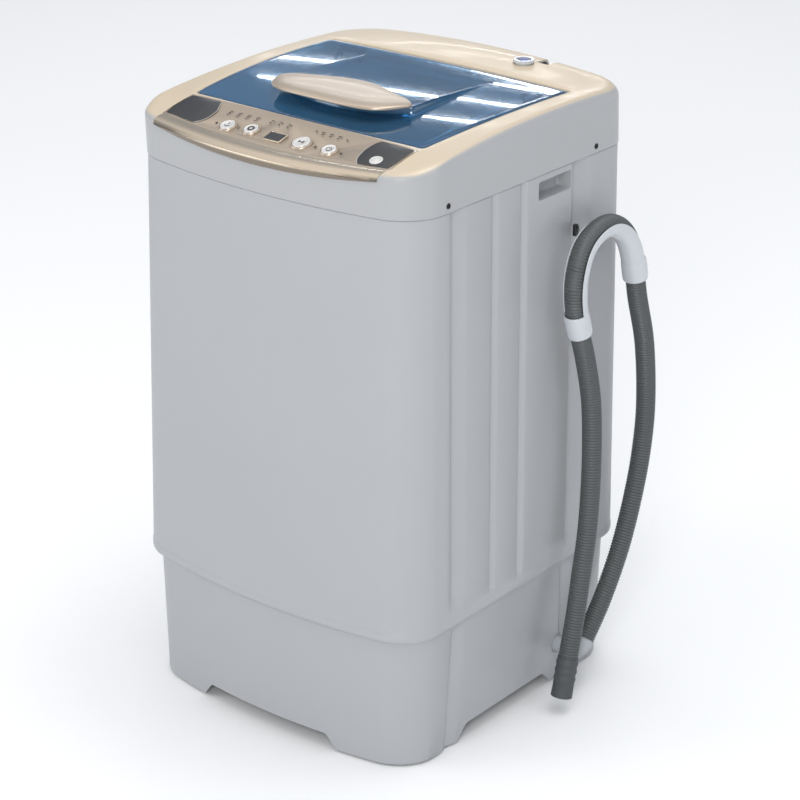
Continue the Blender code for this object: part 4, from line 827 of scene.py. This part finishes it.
def cover_share(p):
    """One on the deck and in the opening, nothing on the walls: it goes by the height below the rounded edge."""
    if abs(p.x) < 0.186 and -0.150 < p.y < 0.150:
        return 1.0
    x = max(-0.1975, min(0.1975, p.x))
    y = max(-0.199 + FRONT_BOW * (x / 0.2077) ** 2, min(0.2085, p.y))
    return smooth_step((p.z - deck(x, y) + 0.0030) / 0.0026)


paint_and_shade_share(cover, cover_share)
done(cover, COVER, "casing", "top_cover", angle=38.0)
print("cover faces", len(cover.data.polygons))

# %% [markdown]
# ## Screws, inlet and hinge blocks
# Four black cross-head screws hold the cover's sides. The water inlet is a white cup with a blue strainer. The
# lid turns on two steel pins between dark blocks, which show through the clear lid at its rear corners.

# %% Small fittings of the cover
cross = [(a * 0.0020 * math.cos(k * math.pi / 2) - b * 0.0005 * math.sin(k * math.pi / 2),
          a * 0.0020 * math.sin(k * math.pi / 2) + b * 0.0005 * math.cos(k * math.pi / 2))
         for k in range(4) for a, b in ((0.3, -1), (1, -1), (1, 1))]
for i, (sign, y) in enumerate(((1, -0.137), (1, 0.137), (-1, -0.137), (-1, 0.137)), 1):
    head = [(0.0, 0.1990), (0.0016, 0.1990), (0.0016, 0.2066), (0.0034, 0.2066), (0.0034, 0.2078), (0.0030, 0.2086),
            (0.0018, 0.2091), (0.0, 0.2093)]
    screw = spun(f"side_screw_{i}", [(r, sign * x) for r, x in head], (0, y, 0.678), "X", 32)
    recess = ring_skin("cross", [[(sign * x, y + a, 0.678 + b) for a, b in cross] for x in (0.2082, 0.2110)],
                       ends=("first", "last"))
    cut(screw, [recess])
    done(screw, SCREW, "casing", f"cover_screw_{i}")
surface = deck(0.075, 0.176)
cup = [(0.0106, -0.016), (0.0106, 0.0012), (0.0122, 0.0012), (0.0126, 0.0017), (0.0125, 0.0046), (0.0121, 0.0050),
       (0.0089, 0.0050), (0.0085, 0.0046), (0.0085, -0.006), (0.0060, -0.006), (0.0060, -0.016)]
inlet = spun("inlet_cup", [(r, surface + z) for r, z in cup], (0.075, 0.176, 0), steps=56)
done(inlet, HOOK, "casing", "inlet_port")
cone = [(0.0, -0.0057), (0.0080, -0.0057), (0.0080, -0.0035), (0.0062, 0.0012), (0.0048, 0.0030), (0.0030, 0.0036),
        (0.0, 0.0036)]
strainer = spun("inlet_strainer", [(r, surface + z) for r, z in cone], (0.075, 0.176, 0), steps=40)
done(strainer, BLUE, "casing", "inlet_filter")
ear_outline = ((-0.0085, -0.0160), (-0.0016, -0.0160), (-0.0012, -0.0050), (0.0032, -0.0014), (0.0032, 0.0014),
               (0.0016, 0.0032), (-0.0016, 0.0032), (-0.0032, 0.0014), (-0.0085, -0.0060))
for sign, side_name in ((-1, "left"), (1, "right")):
    for k, (x0, x1) in enumerate(((0.1195, 0.1255), (0.1505, 0.1565)), 1):
        ear = ring_skin(f"hinge_block_{side_name}_{k}",
                        [[(sign * x, HINGE.y + a, HINGE.z + b) for a, b in ear_outline] for x in (x0, x1)],
                        ends=("first", "last"))
        done(rounded(ear, 0.0004, 2), BLACK, "casing", "top_cover")
    xs = sorted((sign * 0.1196, sign * 0.1564))
    pin = spun(f"hinge_pin_{side_name}_steel", [(0.0, xs[0]), (0.0017, xs[0]), (0.0020, xs[0] + 0.0003),
                                                (0.0020, xs[1] - 0.0003), (0.0017, xs[1]), (0.0, xs[1])],
               (0, HINGE.y, HINGE.z), "X", 24)
    done(pin, STEEL, "casing", f"hinge_pin_{side_name}")
print("screws, inlet and hinge blocks made")

# %% [markdown]
# ## Control panel
# A thin pearl champagne plate follows the deck. Its buttons stand in round holes, each in a bright ring. The
# dark corner plates have a curved inner edge, and a plain silver disc decorates the right one.

# %% Panel plate, corner plates and display
BUTTONS = (("power_button", 0.075, -0.176, 0.0085), ("start_button", 0.036, -0.176, 0.0103),
           ("program_button", -0.038, -0.175, 0.0085), ("water_level_button", -0.070, -0.178, 0.0088))
panel = panel_block("panel_plate", 0.0, 0.0003, -0.0014)
holes = [spun("button_hole", [(0.0, 0.69), (r + 0.0006, 0.69), (r + 0.0006, 0.76), (0.0, 0.76)], (x, y, 0), steps=48)
         for _, x, y, r in BUTTONS]
holes.append(block("display_hole", (-0.0113, -0.1853, 0.69), (0.0113, -0.1707, 0.76)))
cut(panel, holes)
done(rounded(panel, 0.0003, 2), CHAMPAGNE, "casing", "control_panel")
RIGHT_INNER = ((0.1168, -0.1372), (0.1137, -0.1466), (0.1130, -0.1560), (0.1134, -0.1633), (0.1160, -0.1760),
               (0.1195, -0.1825), (0.1240, -0.1868))
LEFT_INNER = ((-0.1167, -0.1372), (-0.1105, -0.1481), (-0.1065, -0.1545), (-0.1050, -0.1604), (-0.1043, -0.1716),
              (-0.1076, -0.1806), (-0.1131, -0.1862), (-0.1190, -0.1888))
for side_name, sign, inner in (("right", 1, RIGHT_INNER), ("left", -1, LEFT_INNER)):
    outline = [(p.x, max(p.y, panel_front(p.x) + 0.0030)) for p in through([(*p, 0) for p in inner], 5)]
    start = abs(outline[-1][0])
    outline += [(sign * x, panel_front(x) + 0.0030) for x in (mix(start, 0.1605, t) for t in (0.2, 0.4, 0.6, 0.8, 1))]
    outline += [(sign * 0.1612, -0.1700), (sign * 0.1612, -0.1500), (sign * 0.1608, -0.1372)]
    inlay = plate(f"{side_name}_corner_plate", outline, lambda x, y: deck(x, y) + 0.0004,
                  lambda x, y: deck(x, y) + 0.0012, 0.0003, 2)
    done(inlay, INLAY, "casing", f"{side_name}_inlay")
    rim = plate(f"{side_name}_corner_rim", [(x - (sign * 0.0009 if abs(x) < 0.14 else 0), y) for x, y in outline],
                lambda x, y: deck(x, y) + 0.0003, lambda x, y: deck(x, y) + 0.0006)
    done(rim, SILVER, "casing", f"{side_name}_inlay")
x, y = 0.1385, -0.1735
base = deck(x, y) + 0.0010
disc = spun("silver_disc", [(0.0, 0.0), (0.0075, 0.0), (0.0075, 0.0006), (0.0070, 0.0010), (0.0054, 0.0010),
                            (0.0050, 0.0006), (0.0040, 0.0006), (0.0036, 0.0011), (0.0020, 0.0014), (0.0, 0.0015)],
            (x, y, base), steps=56)
for vertex in disc.data.vertices:
    vertex.co.z += deck(vertex.co.x, vertex.co.y) - deck(x, y)
done(disc, SILVER, "casing", "right_inlay")
x, y = 0.0, -0.178
surface = deck(x, y)
box = lambda w, h: [(a * w, y + b * h) for a, b in ((-1, -0.9), (-0.9, -1), (0.9, -1), (1, -0.9), (1, 0.9), (0.9, 1),
                                                    (-0.9, 1), (-1, 0.9))]
window = plate("display_pane", box(0.0108, 0.0068), lambda u, v: deck(u, v) - 0.0040, lambda u,
               v: deck(u, v) + 0.0006)
done(window, WINDOW, "casing", "display_window")
frame_outer = plate("display_frame", box(0.0124, 0.0084), lambda u, v: deck(u, v) - 0.0006, lambda u,
                    v: deck(u, v) + 0.0009, 0.0003, 2)
cut(frame_outer, [plate("pane_hole", box(0.0109, 0.0069), lambda u, v: deck(u, v) - 0.02, lambda u,
                        v: deck(u, v) + 0.02)])
done(frame_outer, TRIM, "casing", "display_window")
paint_and_shade_share(frame_outer, lambda p: 1.0)
print("panel plate and inlays made")

# %% [markdown]
# ## Buttons
# A button is a shallow dished cap on a stem, with a thin dark ring or a start and pause mark on it, and round it
# stands a fixed bright bezel. Cap and mark ride on the button's own body, so they sink when it is pressed.

# %% Buttons, bezels and marks
for name, x, y, r in BUTTONS:
    surface = deck(x, y)
    cap = [(0.0, 0.7035 - surface), (0.0030, 0.7035 - surface), (0.0030, -0.0080), (r - 0.0010, -0.0080),
           (r, -0.0070),
           (r, 0.0010), (r - 0.0003, 0.0016), (r - 0.0010, 0.0019), (r * 0.62, 0.0013), (0.0, 0.0011)]
    button = spun(f"{name}_cap", [(a, surface + b) for a, b in cap], (x, y, 0), steps=56)
    for vertex in button.data.vertices:
        if vertex.co.z > surface - 0.0005:
            vertex.co.z += deck(vertex.co.x, vertex.co.y) - deck(x, y)
    done(button, SILVER, name + "_body", name)
    bezel = spun(f"{name}_bezel", [(r + 0.0005, -0.0010), (r + 0.0024, -0.0010), (r + 0.0024, 0.0002),
                                   (r + 0.0018, 0.0010),
                                   (r + 0.0009, 0.0011), (r + 0.0005, 0.0006)], (x, y, surface), steps=56)
    for vertex in bezel.data.vertices:
        vertex.co.z += deck(vertex.co.x, vertex.co.y) - deck(x, y)
    done(bezel, GRIP, "casing", "control_panel")
    top = lambda u, v: deck(u, v) + 0.0013
    marks = []
    if name == "start_button":
        marks.append([(x - 0.0036, y - 0.0022), (x - 0.0004, y), (x - 0.0036, y + 0.0022)])
        marks.append([(x + 0.0009, y - 0.0020), (x + 0.0018, y - 0.0020), (x + 0.0018, y + 0.0020),
                      (x + 0.0009, y + 0.0020)])
        marks.append([(x + 0.0027, y - 0.0020), (x + 0.0036, y - 0.0020), (x + 0.0036, y + 0.0020),
                      (x + 0.0027, y + 0.0020)])
    else:
        gap = {"power_button": 0.5, "program_button": 0.0, "water_level_button": 1.9}[name]
        turns = [math.pi / 2 + gap + (2 * math.pi - 2 * gap) * k / 32 for k in range(33 if gap else 32)]
        if gap:
            marks.append([(x + 0.0036 * math.cos(a), y + 0.0036 * math.sin(a)) for a in turns]
                         + [(x + 0.0028 * math.cos(a), y + 0.0028 * math.sin(a)) for a in reversed(turns)])
            marks.append([(x - 0.0004, y + 0.0012), (x + 0.0004, y + 0.0012), (x + 0.0004, y + 0.0042),
                          (x - 0.0004, y + 0.0042)])
        else:
            ring = spun("program_ring", [(0.0024, 0.0009), (0.0042, 0.0009), (0.0042, 0.0017), (0.0024, 0.0017)],
                        (x, y, surface), steps=40)
            for vertex in ring.data.vertices:
                vertex.co.z += deck(vertex.co.x, vertex.co.y) - deck(x, y)
            done(ring, MARK, name + "_body", name)
    for k, outline in enumerate(marks, 1):
        mark = plate(f"{name}_mark_{k}", outline, lambda u, v: top(u, v) - 0.0006, lambda u, v: top(u, v) + 0.0002)
        done(mark, MARK, name + "_body", name)
print("buttons made")

# %% [markdown]
# ## Printed marks and lamps
# Rows of small lamps and short dashes tell the wash steps. They are plain shapes, with no letters in them, and
# each is a thin raised plate, so that it keeps its place when the panel is seen from close by.

# %% Lamps and dashes
dashes = []
for k in range(4):
    dashes.append((-0.0880 + 0.0135 * k, -0.1510, 0.0042, 0.0011))
    dashes.append((-0.0880 + 0.0135 * k, -0.1580, 0.0030, 0.0010))
for k in range(3):
    dashes.append((-0.0270 + 0.0125 * k, -0.1500, 0.0048, 0.0011))
    dashes.append((0.0440 + 0.0120 * k, -0.1480, 0.0052, 0.0012))
    dashes.append((0.0460 + 0.0110 * k, -0.1525, 0.0036, 0.0010))
dashes += [(-0.0865, -0.1780, 0.0028, 0.0024), (-0.0540, -0.1765, 0.0036, 0.0010), (0.0570, -0.1770, 0.0028, 0.0026),
           (0.0925, -0.1765, 0.0030, 0.0024), (-0.0540, -0.1790, 0.0024, 0.0009)]
for k, (x, y, w, h) in enumerate(dashes, 1):
    outline = [(x + a * w / 2, y + b * h / 2) for a, b in ((-1, -1), (1, -1), (1, 1), (-1, 1))]
    dash = plate(f"panel_dash_{k}", outline, lambda u, v: deck(u, v) + 0.0002, lambda u, v: deck(u, v) + 0.00045)
    done(dash, MARK, "casing", "control_panel")
lamps = [(-0.0880 + 0.0135 * k, -0.1545) for k in range(4)] + [(-0.0270 + 0.0125 * k, -0.1550) for k in range(3)]
lamps += [(0.0350, -0.1490), (0.0800, -0.1510)]
for k, (x, y) in enumerate(lamps, 1):
    dome = spun(f"panel_lamp_{k}", [(0.0, 0.0), (0.0012, 0.0), (0.0011, 0.0005), (0.0007, 0.0008), (0.0, 0.0009)],
                (x, y, deck(x, y) + 0.0002), steps=16)
    done(dome, WINDOW, "casing", "control_panel")
print("dashes and lamps:", len(dashes), len(lamps))

# %% [markdown]
# ## Front trim
# A bright band runs along the top of the front wall and wraps over the cover's front edge, up to the panel. Its upper
# part is polished champagne; its lower part turns under and carries painted shade, a darker colour that reaches
# higher near the ends, and the band grows thinner towards its two ends.

# %% Front trim
sections = []
for i in range(61):
    share = i / 60
    ring = []
    for z, out in ((0.7016, 0.0002), (0.7020, 0.0016), (0.7034, 0.0024), (0.7060, 0.0026), (0.7082, 0.0030),
                   (0.7096, 0.0035),
                   (0.7110, 0.0032), (0.7119, 0.0022)):
        half = mix(0.1500, 0.1620, (z - 0.7016) / 0.0103)
        x = mix(-half, half, share)
        taper = 1 - 0.80 * (2 * share - 1) ** 2
        ring.append((x, -0.2162 + FRONT_BOW * (x / 0.2077) ** 2 - out * (0.4 + 0.6 * taper),
                     0.7119 - (0.7119 - z) * taper))
    x = mix(-0.1620, 0.1620, share)
    wall, edge = -0.2162 + FRONT_BOW * (x / 0.2077) ** 2, -0.1990 + FRONT_BOW * (x / 0.2077) ** 2
    rim = deck(x, edge)
    for lift in (0.0006, -0.0006):
        arc = [(mix(edge, wall, math.cos(turn)), rim - 0.0055 * (1 - math.sin(turn)) + lift)
               for turn in (math.pi / 2 * k / 7 for k in range(1, 8))]
        end = panel_front(x) + 0.0006
        arc += [(end, deck(x, end) + (0.0006 if lift > 0 else -0.0010))]
        ring += [(x, y, z) for y, z in (arc if lift > 0 else reversed(arc))]
    sections.append(ring)
trim = ring_skin("front_band", sections, ends=("first", "last"))
# Below this height the trim gets its darker colour, painted shade on the underturned lower part; the height rises
# towards the ends.
paint_and_shade_share(trim, lambda p: smooth_step((p.z - mix(0.7082, 0.7138, (p.x / 0.162) ** 2)) / 0.0012))
done(trim, TRIM, "casing", "front_trim", angle=40.0)
print("trim made")

# %% [markdown]
# ## Clear lid
# The lid is blue clear plastic, 2.5 mm thick, with a deeper rim at its sides and front. A raised platform carries
# the grip: it rises towards the front and ends there in a steep curved wall. Its top is one grid whose rows and
# columns follow the platform's edges, so that these stay crisp; Solidify then gives the sheet its thickness.

# %% Lid glass
GLASS = finish("blue_glass", (0.150, 0.440, 0.760), 0.02, grain=40.0, depth=0.00001, tint=0.04, coat=0.5,
               transmission=0.86, smears=0.015)
GLASS.node_tree.nodes["Principled BSDF"].inputs["IOR"].default_value = 1.49


def lid_width(y):
    share = y / LID_REAR
    return LID_HALF_WIDTH * (1 + 0.033 * share + 0.018 * (1 - share * share))


def platform_front(x):
    share = min(1.0, abs(x) / 0.095)
    return -0.085 + 0.030 * share * share


def lid_height(x, y):
    side = 1 - smooth_step((abs(x) - 0.0933) / 0.0024)
    front = smooth_step((y - platform_front(x) + 0.0013) / 0.0026)
    rise = 0.011 * max(0.0, (0.090 - y) / 0.175)
    return deck(x, y) + rise * side * front - (0.0025 * smooth_step((y - 0.1228) / 0.0032))


half = [0.0, 0.012, 0.024, 0.036, 0.048, 0.060, 0.072, 0.083, 0.0915, 0.0933, 0.0940, 0.0945, 0.0950, 0.0957, 0.0975,
        0.108, 0.120, 0.132, 0.144, 0.155]
columns = [-x for x in reversed(half[1:])] + half
columns = ["outer-", "inner-"] + columns + ["inner+", "outer+"]
grid = []
for key in columns:
    column = []
    for row in range(30):
        x_guess = key if isinstance(key, float) else 0.160
        wall = platform_front(x_guess)
        bow = 0.004 * (x_guess / LID_HALF_WIDTH) ** 2
        front = LID_FRONT + bow
        rear = LID_REAR - 0.001 * (x_guess / LID_HALF_WIDTH) ** 2
        stops = [front, front + 0.0008, front + 0.0022, mix(front, wall, 0.25), mix(front, wall, 0.5),
                 mix(front, wall, 0.75),
                 wall - 0.004, wall - 0.0016, wall - 0.0009, wall - 0.0003, wall + 0.0003, wall + 0.0009,
                 wall + 0.0016,
                 wall + 0.005]
        stops += [mix(wall + 0.005, 0.086, k / 8) for k in range(1, 9)]
        stops += [0.089, 0.092, 0.100, 0.108, 0.116, 0.1215, 0.1245, rear]
        y = stops[row]
        if isinstance(key, float):
            x = key
        else:
            inset = {0: 0.0052, 1: 0.0030, 2: 0.0012, 28: 0.0018, 29: 0.0050}.get(row, 0.0)
            x = (lid_width(y) - (inset if key.startswith("outer") else 0.0062)) * (-1 if key.endswith("-") else 1)
        column.append((x, y, lid_height(x, y)))
    grid.append(column)
fresh()
bpy.ops.mesh.primitive_grid_add(x_subdivisions=len(grid[0]) - 1, y_subdivisions=len(grid) - 1, size=2.0)
glass = bpy.context.object
glass.name = "clear_lid"
for vertex in glass.data.vertices:
    row = round((vertex.co.x + 1) / 2 * (len(grid[0]) - 1))
    column = round((vertex.co.y + 1) / 2 * (len(grid) - 1))
    vertex.co = grid[column][row]
bpy.ops.object.mode_set(mode="EDIT")
bpy.ops.mesh.select_all(action="SELECT")
bpy.ops.mesh.normals_make_consistent(inside=False)
bpy.ops.object.mode_set(mode="OBJECT")
if glass.data.polygons[len(glass.data.polygons) // 2].normal.z < 0:
    bpy.ops.object.mode_set(mode="EDIT")
    bpy.ops.mesh.select_all(action="SELECT")
    bpy.ops.mesh.flip_normals()
    bpy.ops.object.mode_set(mode="OBJECT")
bpy.ops.object.mode_set(mode="EDIT")
bpy.ops.mesh.select_mode(type="EDGE")
bpy.ops.mesh.select_all(action="DESELECT")
sheet = bmesh.from_edit_mesh(glass.data)
for edge in sheet.edges:
    edge.select = edge.is_boundary and all(v.co.y < 0.0995 for v in edge.verts)
bmesh.update_edit_mesh(glass.data)
bpy.ops.mesh.extrude_region_move(TRANSFORM_OT_translate={"value": (0, 0, -0.0042)})
bpy.ops.object.mode_set(mode="OBJECT")
apply(glass, "SOLIDIFY", thickness=0.0021, offset=-1.0, use_even_offset=False)
tidy(glass)
done(rounded(glass, 0.00035, 2, 50.0), GLASS, "lid", "lid", angle=42.0)
for sign, side_name in ((-1, "left"), (1, "right")):
    xs = sorted((sign * 0.1260, sign * 0.1500))
    knuckle = spun(f"lid_knuckle_{side_name}", [(0.0022, xs[0]), (0.0042, xs[0]), (0.0047, xs[0] + 0.0005),
                                                (0.0047, xs[1] - 0.0005), (0.0042, xs[1]), (0.0022, xs[1])],
                   (0, HINGE.y, HINGE.z), "X", 40)
    done(knuckle, BLACK, "lid", "lid")
print("lid faces", len(glass.data.polygons))

# %% [markdown]
# ## Grip
# The grip is a boat-shaped moulding in pearl champagne that lies on the platform and overhangs its front wall,
# where the fingers lift it. Stations across it give its outline; each station is a crowned, rounded section.

# %% Grip
HANDLE = ((0.0, -0.1068, -0.0238), (0.020, -0.1068, -0.0265), (0.040, -0.1064, -0.0332), (0.058, -0.1045, -0.0403),
          (0.072, -0.0998, -0.0450), (0.083, -0.0905, -0.0492), (0.090, -0.0780, -0.0535), (0.0945, -0.0665, -0.0590))


def handle_edges(x):
    x = min(abs(x), 0.0945)
    for (a, f0, r0), (b, f1, r1) in zip(HANDLE, HANDLE[1:]):
        if a <= x <= b:
            t = (x - a) / (b - a)
            return mix(f0, f1, t), mix(r0, r1, t)


def rest_height(x, y):
    return deck(x, y) + 0.011 * max(0.0, (0.090 - y) / 0.175)


sections = []
reach = 0.0955
for i in range(49):
    x = reach * math.sin(math.pi / 2 * (i / 24 - 1) * 0.985)
    front, rear = handle_edges(x)
    swell = max(0.02, 1 - (abs(x) / reach) ** 5) ** 0.6
    middle = (front + rear) / 2
    half_depth = (rear - front) / 2
    ring = []
    for k in range(40):
        turn = 2 * math.pi * k / 40
        c, s = math.cos(turn), math.sin(turn)
        y = middle + half_depth * math.copysign(abs(c) ** 0.72, c)
        if s >= 0:
            z = rest_height(x, y) + 0.0023 + 0.0050 * swell * abs(s) ** 0.62
        else:
            z = rest_height(x, y) + 0.0023 - 0.0019 * abs(s) ** 0.4
        ring.append((x, y, z))
    sections.append(ring)
grip = ring_skin("lid_grip", sections, ends=("first", "last"))
done(grip, GRIP, "lid", "lid_handle", angle=60.0)
print("grip faces", len(grip.data.polygons))

# %% [markdown]
# ## Tub, basket and pulsator
# These turn about one upright axis, so each is a spun profile. The basket's wall is steel sheet full of small holes.
# Thousands of real holes would be far too heavy, so its finish draws them as dark dots of painted shade, standing for
# the shaded gap an open hole would show, laid out on a map that runs round the wall.

# %% Tub, tub ring, basket, balance ring
tub = spun("outer_tub_wall", [(0.016, 0.225), (0.150, 0.225), (0.1625, 0.2300), (0.1685, 0.243), (0.1685, 0.628),
                              (0.166, 0.628), (0.166, 0.2445), (0.1610, 0.2325), (0.149, 0.2275), (0.016, 0.2275)],
           steps=96)
lugs = []
for sign_x in (1, -1):
    for sign_y in (1, -1):
        rod = Vector((sign_x * 0.158, sign_y * 0.143, 0))
        along = rod.normalized()
        across = Vector((-along.y, along.x, 0)) * 0.013
        corners = [along * 0.1672 - across, along * (rod.length + 0.011) - across,
                   along * (rod.length + 0.011) + across,
                   along * 0.1672 + across]
        lug = ring_skin("lug", [[(c.x, c.y, z) for c in corners] for z in (0.262, 0.274)], ends=("first", "last"))
        cut(lug, [spun("rod_hole", [(0.0, 0.25), (0.0045, 0.25), (0.0045, 0.29), (0.0, 0.29)], (rod.x, rod.y, 0),
                       steps=24)])
        lugs.append(rounded(lug, 0.0008, 2))
for k, lug in enumerate(lugs, 1):
    lug.name = f"tub_lug_{k}"
    done(lug, GREY, "tub_unit", "outer_tub")
done(tub, GREY, "tub_unit", "outer_tub")
outer = 0.172
tub_ring = spun("tub_ring_cap", [(outer, 0.616), (outer, 0.6445), (outer - 0.0015, 0.6462), (0.1382, 0.6500),
                                 (0.137, 0.6495),
                                 (0.137, 0.6478), (outer - 0.0045, 0.6437), (outer - 0.0045, 0.6284),
                                 (outer - 0.003, 0.6284),
                                 (outer - 0.003, 0.616)], steps=96)
done(tub_ring, WHITE, "tub_unit", "tub_ring")
basket = spun("spin_basket_wall", [(0.020, 0.262), (0.138, 0.262), (0.1470, 0.2660), (0.150, 0.274), (0.150, 0.5997),
                                   (0.1488, 0.5997), (0.1488, 0.2745), (0.1462, 0.2672), (0.1375, 0.2632),
                                   (0.020, 0.2632)],
              steps=96)
wrap = basket.data.uv_layers.new(name="round_the_wall")
for polygon in basket.data.polygons:
    centre = math.atan2(polygon.center.y, polygon.center.x)
    for corner in polygon.loop_indices:
        p = basket.data.vertices[basket.data.loops[corner].vertex_index].co
        angle = centre + (math.atan2(p.y, p.x) - centre + math.pi) % (2 * math.pi) - math.pi
        wrap.data[corner].uv = (angle * 0.15, p.z)
PERFORATED = finish("perforated_steel", (0.58, 0.58, 0.59), 0.26, grain=1600.0, depth=0.00001, metallic=1.0)
tree = PERFORATED.node_tree
shader = tree.nodes["Principled BSDF"]
around = tree.nodes.new("ShaderNodeUVMap")
around.uv_map = "round_the_wall"
cells = tree.nodes.new("ShaderNodeTexVoronoi")
cells.inputs["Scale"].default_value = 82.0
cells.inputs["Randomness"].default_value = 0.0
tree.links.new(around.outputs["UV"], cells.inputs["Vector"])
hole = tree.nodes.new("ShaderNodeMapRange")
hole.inputs["From Min"].default_value, hole.inputs["From Max"].default_value = 0.20, 0.24
tree.links.new(cells.outputs["Distance"], hole.inputs["Value"])
# Each hole is a dark dot of painted shade, where an open hole would show the shaded gap behind the wall.
painted_hole_shade = tree.nodes.new("ShaderNodeMix")
painted_hole_shade.data_type = "RGBA"
painted_hole_shade.inputs["A"].default_value = (0.012, 0.012, 0.013, 1.0)
tree.links.new(hole.outputs["Result"], painted_hole_shade.inputs["Factor"])
tree.links.new(shader.inputs["Base Color"].links[0].from_socket, painted_hole_shade.inputs["B"])
tree.links.new(painted_hole_shade.outputs["Result"], shader.inputs["Base Color"])
done(basket, PERFORATED, "basket", "spin_basket")
balance = spun("balance_ring_moulding", [(0.1515, 0.600), (0.1515, 0.6310), (0.1505, 0.6330), (0.1480, 0.634),
                                         (0.1312, 0.634),
                                         (0.1280, 0.6330), (0.1265, 0.630), (0.1275, 0.622), (0.1340, 0.609),
                                         (0.142, 0.600)],
               steps=96)
done(balance, WHITE, "basket", "balance_ring")
rings = []
foot = 0.266
levels = ((0.118, 0.0, 0.0), (0.1212, 0.001, 0.0), (0.122, 0.003, 0.0), (0.1212, 0.0048, 0.0), (0.116, 0.0078, 0.0),
          (0.112, 0.009, 0.0), (0.104, 0.0096, 0.006), (0.095, 0.010, 0.010), (0.078, 0.0108, 0.0145),
          (0.060, 0.012, 0.016),
          (0.042, 0.0145, 0.013), (0.026, 0.018, 0.008), (0.019, 0.0225, 0.002), (0.0155, 0.0258, 0.0),
          (0.014, 0.026, 0.0))
for radius, height, vane in levels:
    ring = []
    for k in range(96):
        angle = 2 * math.pi * k / 96
        lift = max(0.0, math.cos(4 * angle + 6 * (0.122 - radius))) ** 5
        ring.append((radius * math.cos(angle), radius * math.sin(angle), foot + height + vane * lift))
    rings.append(ring)
for radius, height in ((0.0035, 0.026), (0.0035, 0.0183), (0.0063, 0.0183), (0.0063, 0.0), (0.118, 0.0)):
    rings.append([(radius * math.cos(2 * math.pi * k / 96), radius * math.sin(2 * math.pi * k / 96), foot + height)
                  for k in range(96)])
pulsator = ring_skin("pulsator_disc", rings)
done(pulsator, WHITE, "pulsator_drive", "pulsator", angle=50.0)
print("tub and basket made")

# %% [markdown]
# ## Drive, suspension and small fittings
# The parts under the tub are right in the engineering model but their edges are hard. Each is copied, its loose
# triangles are merged, and a small bevel rounds the edges. The springs stay as they are, because they stretch
# with the suspension, and get their steel.

# %% Softened copies of engineering parts
def softened(node, material, body, bevel=0.0006, angle=30.0):
    """A merged and bevelled copy of one engineering node."""
    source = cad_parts[node]
    copy = bpy.data.objects.new(f"{node}_finished", source.data.copy())
    bpy.context.collection.objects.link(copy)
    if copy.data.has_custom_normals:
        take(copy)
        bpy.ops.mesh.customdata_custom_splitnormals_clear()
    tidy(copy, 0.00001)
    apply(copy, "DECIMATE", decimate_type="DISSOLVE", angle_limit=math.radians(1.5))
    return done(rounded(copy, bevel, 2, angle), material, body, node, angle=angle + 5)


for node, material, body, bevel in (
        ("motor", LACQUER, "tub_unit", 0.0010), ("clutch_housing", IRON, "tub_unit", 0.0008),
        ("drain_valve", GREY, "tub_unit", 0.0006), ("drive_belt", RUBBER, "tub_unit", 0.0003),
        ("drive_shaft", STEEL, "pulsator_drive", 0.0004), ("driven_pulley", IRON, "pulsator_drive", 0.0005),
        ("pulsator_screw", STEEL, "pulsator_drive", 0.0006), ("motor_pulley", STEEL, "motor_rotor", 0.0003),
        ("motor_capacitor", BLACK, "casing", 0.0010), ("water_level_sensor", WHITE, "casing", 0.0006),
        ("lid_switch", BLACK, "casing", 0.0006), ("inlet_valve", GREY, "casing", 0.0006),
        ("control_board", BOARD, "casing", 0.0003), ("hose_clip", BLACK, "casing", 0.0008),
        ("power_gland", BLACK, "casing", 0.0006), ("suspension_rod_1", STEEL, "casing", 0.0003),
        ("suspension_rod_2", STEEL, "casing", 0.0003), ("suspension_rod_3", STEEL, "casing", 0.0003),
        ("suspension_rod_4", STEEL, "casing", 0.0003)):
    softened(node, material, body, bevel)
for k in range(1, 5):
    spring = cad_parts[f"suspension_spring_{k}"]
    spring.data.materials.clear()
    spring.data.materials.append(STEEL)
print("softened parts made")

# %% [markdown]
# ## Rear cover
# The service cover on the back is a pressed plate. Five raised beads stiffen it, two rows of slots let warm air
# out, and a screw stands in each corner.

# %% Rear cover
wall_low, wall_high = casing_size(0.225)[1], casing_size(0.520)[1]


def wall_y(z):
    return mix(wall_low, wall_high, (z - 0.225) / 0.295)


outline = [(-0.125, 0.225), (0.125, 0.225), (0.125, 0.520), (-0.125, 0.520)]
low = [(x, wall_y(z) - 0.003, z) for x, z in outline]
high = [(x, wall_y(z) - 0.0002, z) for x, z in outline]
rear = rounded(ring_skin("rear_service_cover", [low, high], ends=("first", "last")), 0.0008, 3)
for x in (-0.080 + 0.020 * k for k in range(9)):
    for z in (0.455, 0.290):
        cut(rear, [block("slot", (x - 0.0055, 0.200, z - 0.016), (x + 0.0055, 0.240, z + 0.016), 0.0025, 3)])
done(rear, CASING, "casing", "rear_cover")
for k in range(5):
    z = 0.335 + 0.020 * k
    bead = block(f"rear_bead_{k + 1}", (-0.095, wall_y(z) - 0.0010, z - 0.0035),
                 (0.095, wall_y(z) + 0.0006, z + 0.0035),
                 0.0008, 3)
    done(bead, CASING, "casing", "rear_cover")
for k, (x, z) in enumerate(((-0.117, 0.233), (0.117, 0.233), (0.117, 0.512), (-0.117, 0.512)), 1):
    y = wall_y(z)
    head = spun(f"rear_screw_{k}", [(0.0, y - 0.0010), (0.0034, y - 0.0010), (0.0034, y - 0.0001),
                                    (0.0026, y + 0.0011),
                                    (0.0012, y + 0.0015), (0.0, y + 0.0015)], (x, 0, z), "Y", 28)
    done(head, SCREW, "casing", "rear_cover")
print("rear cover made")
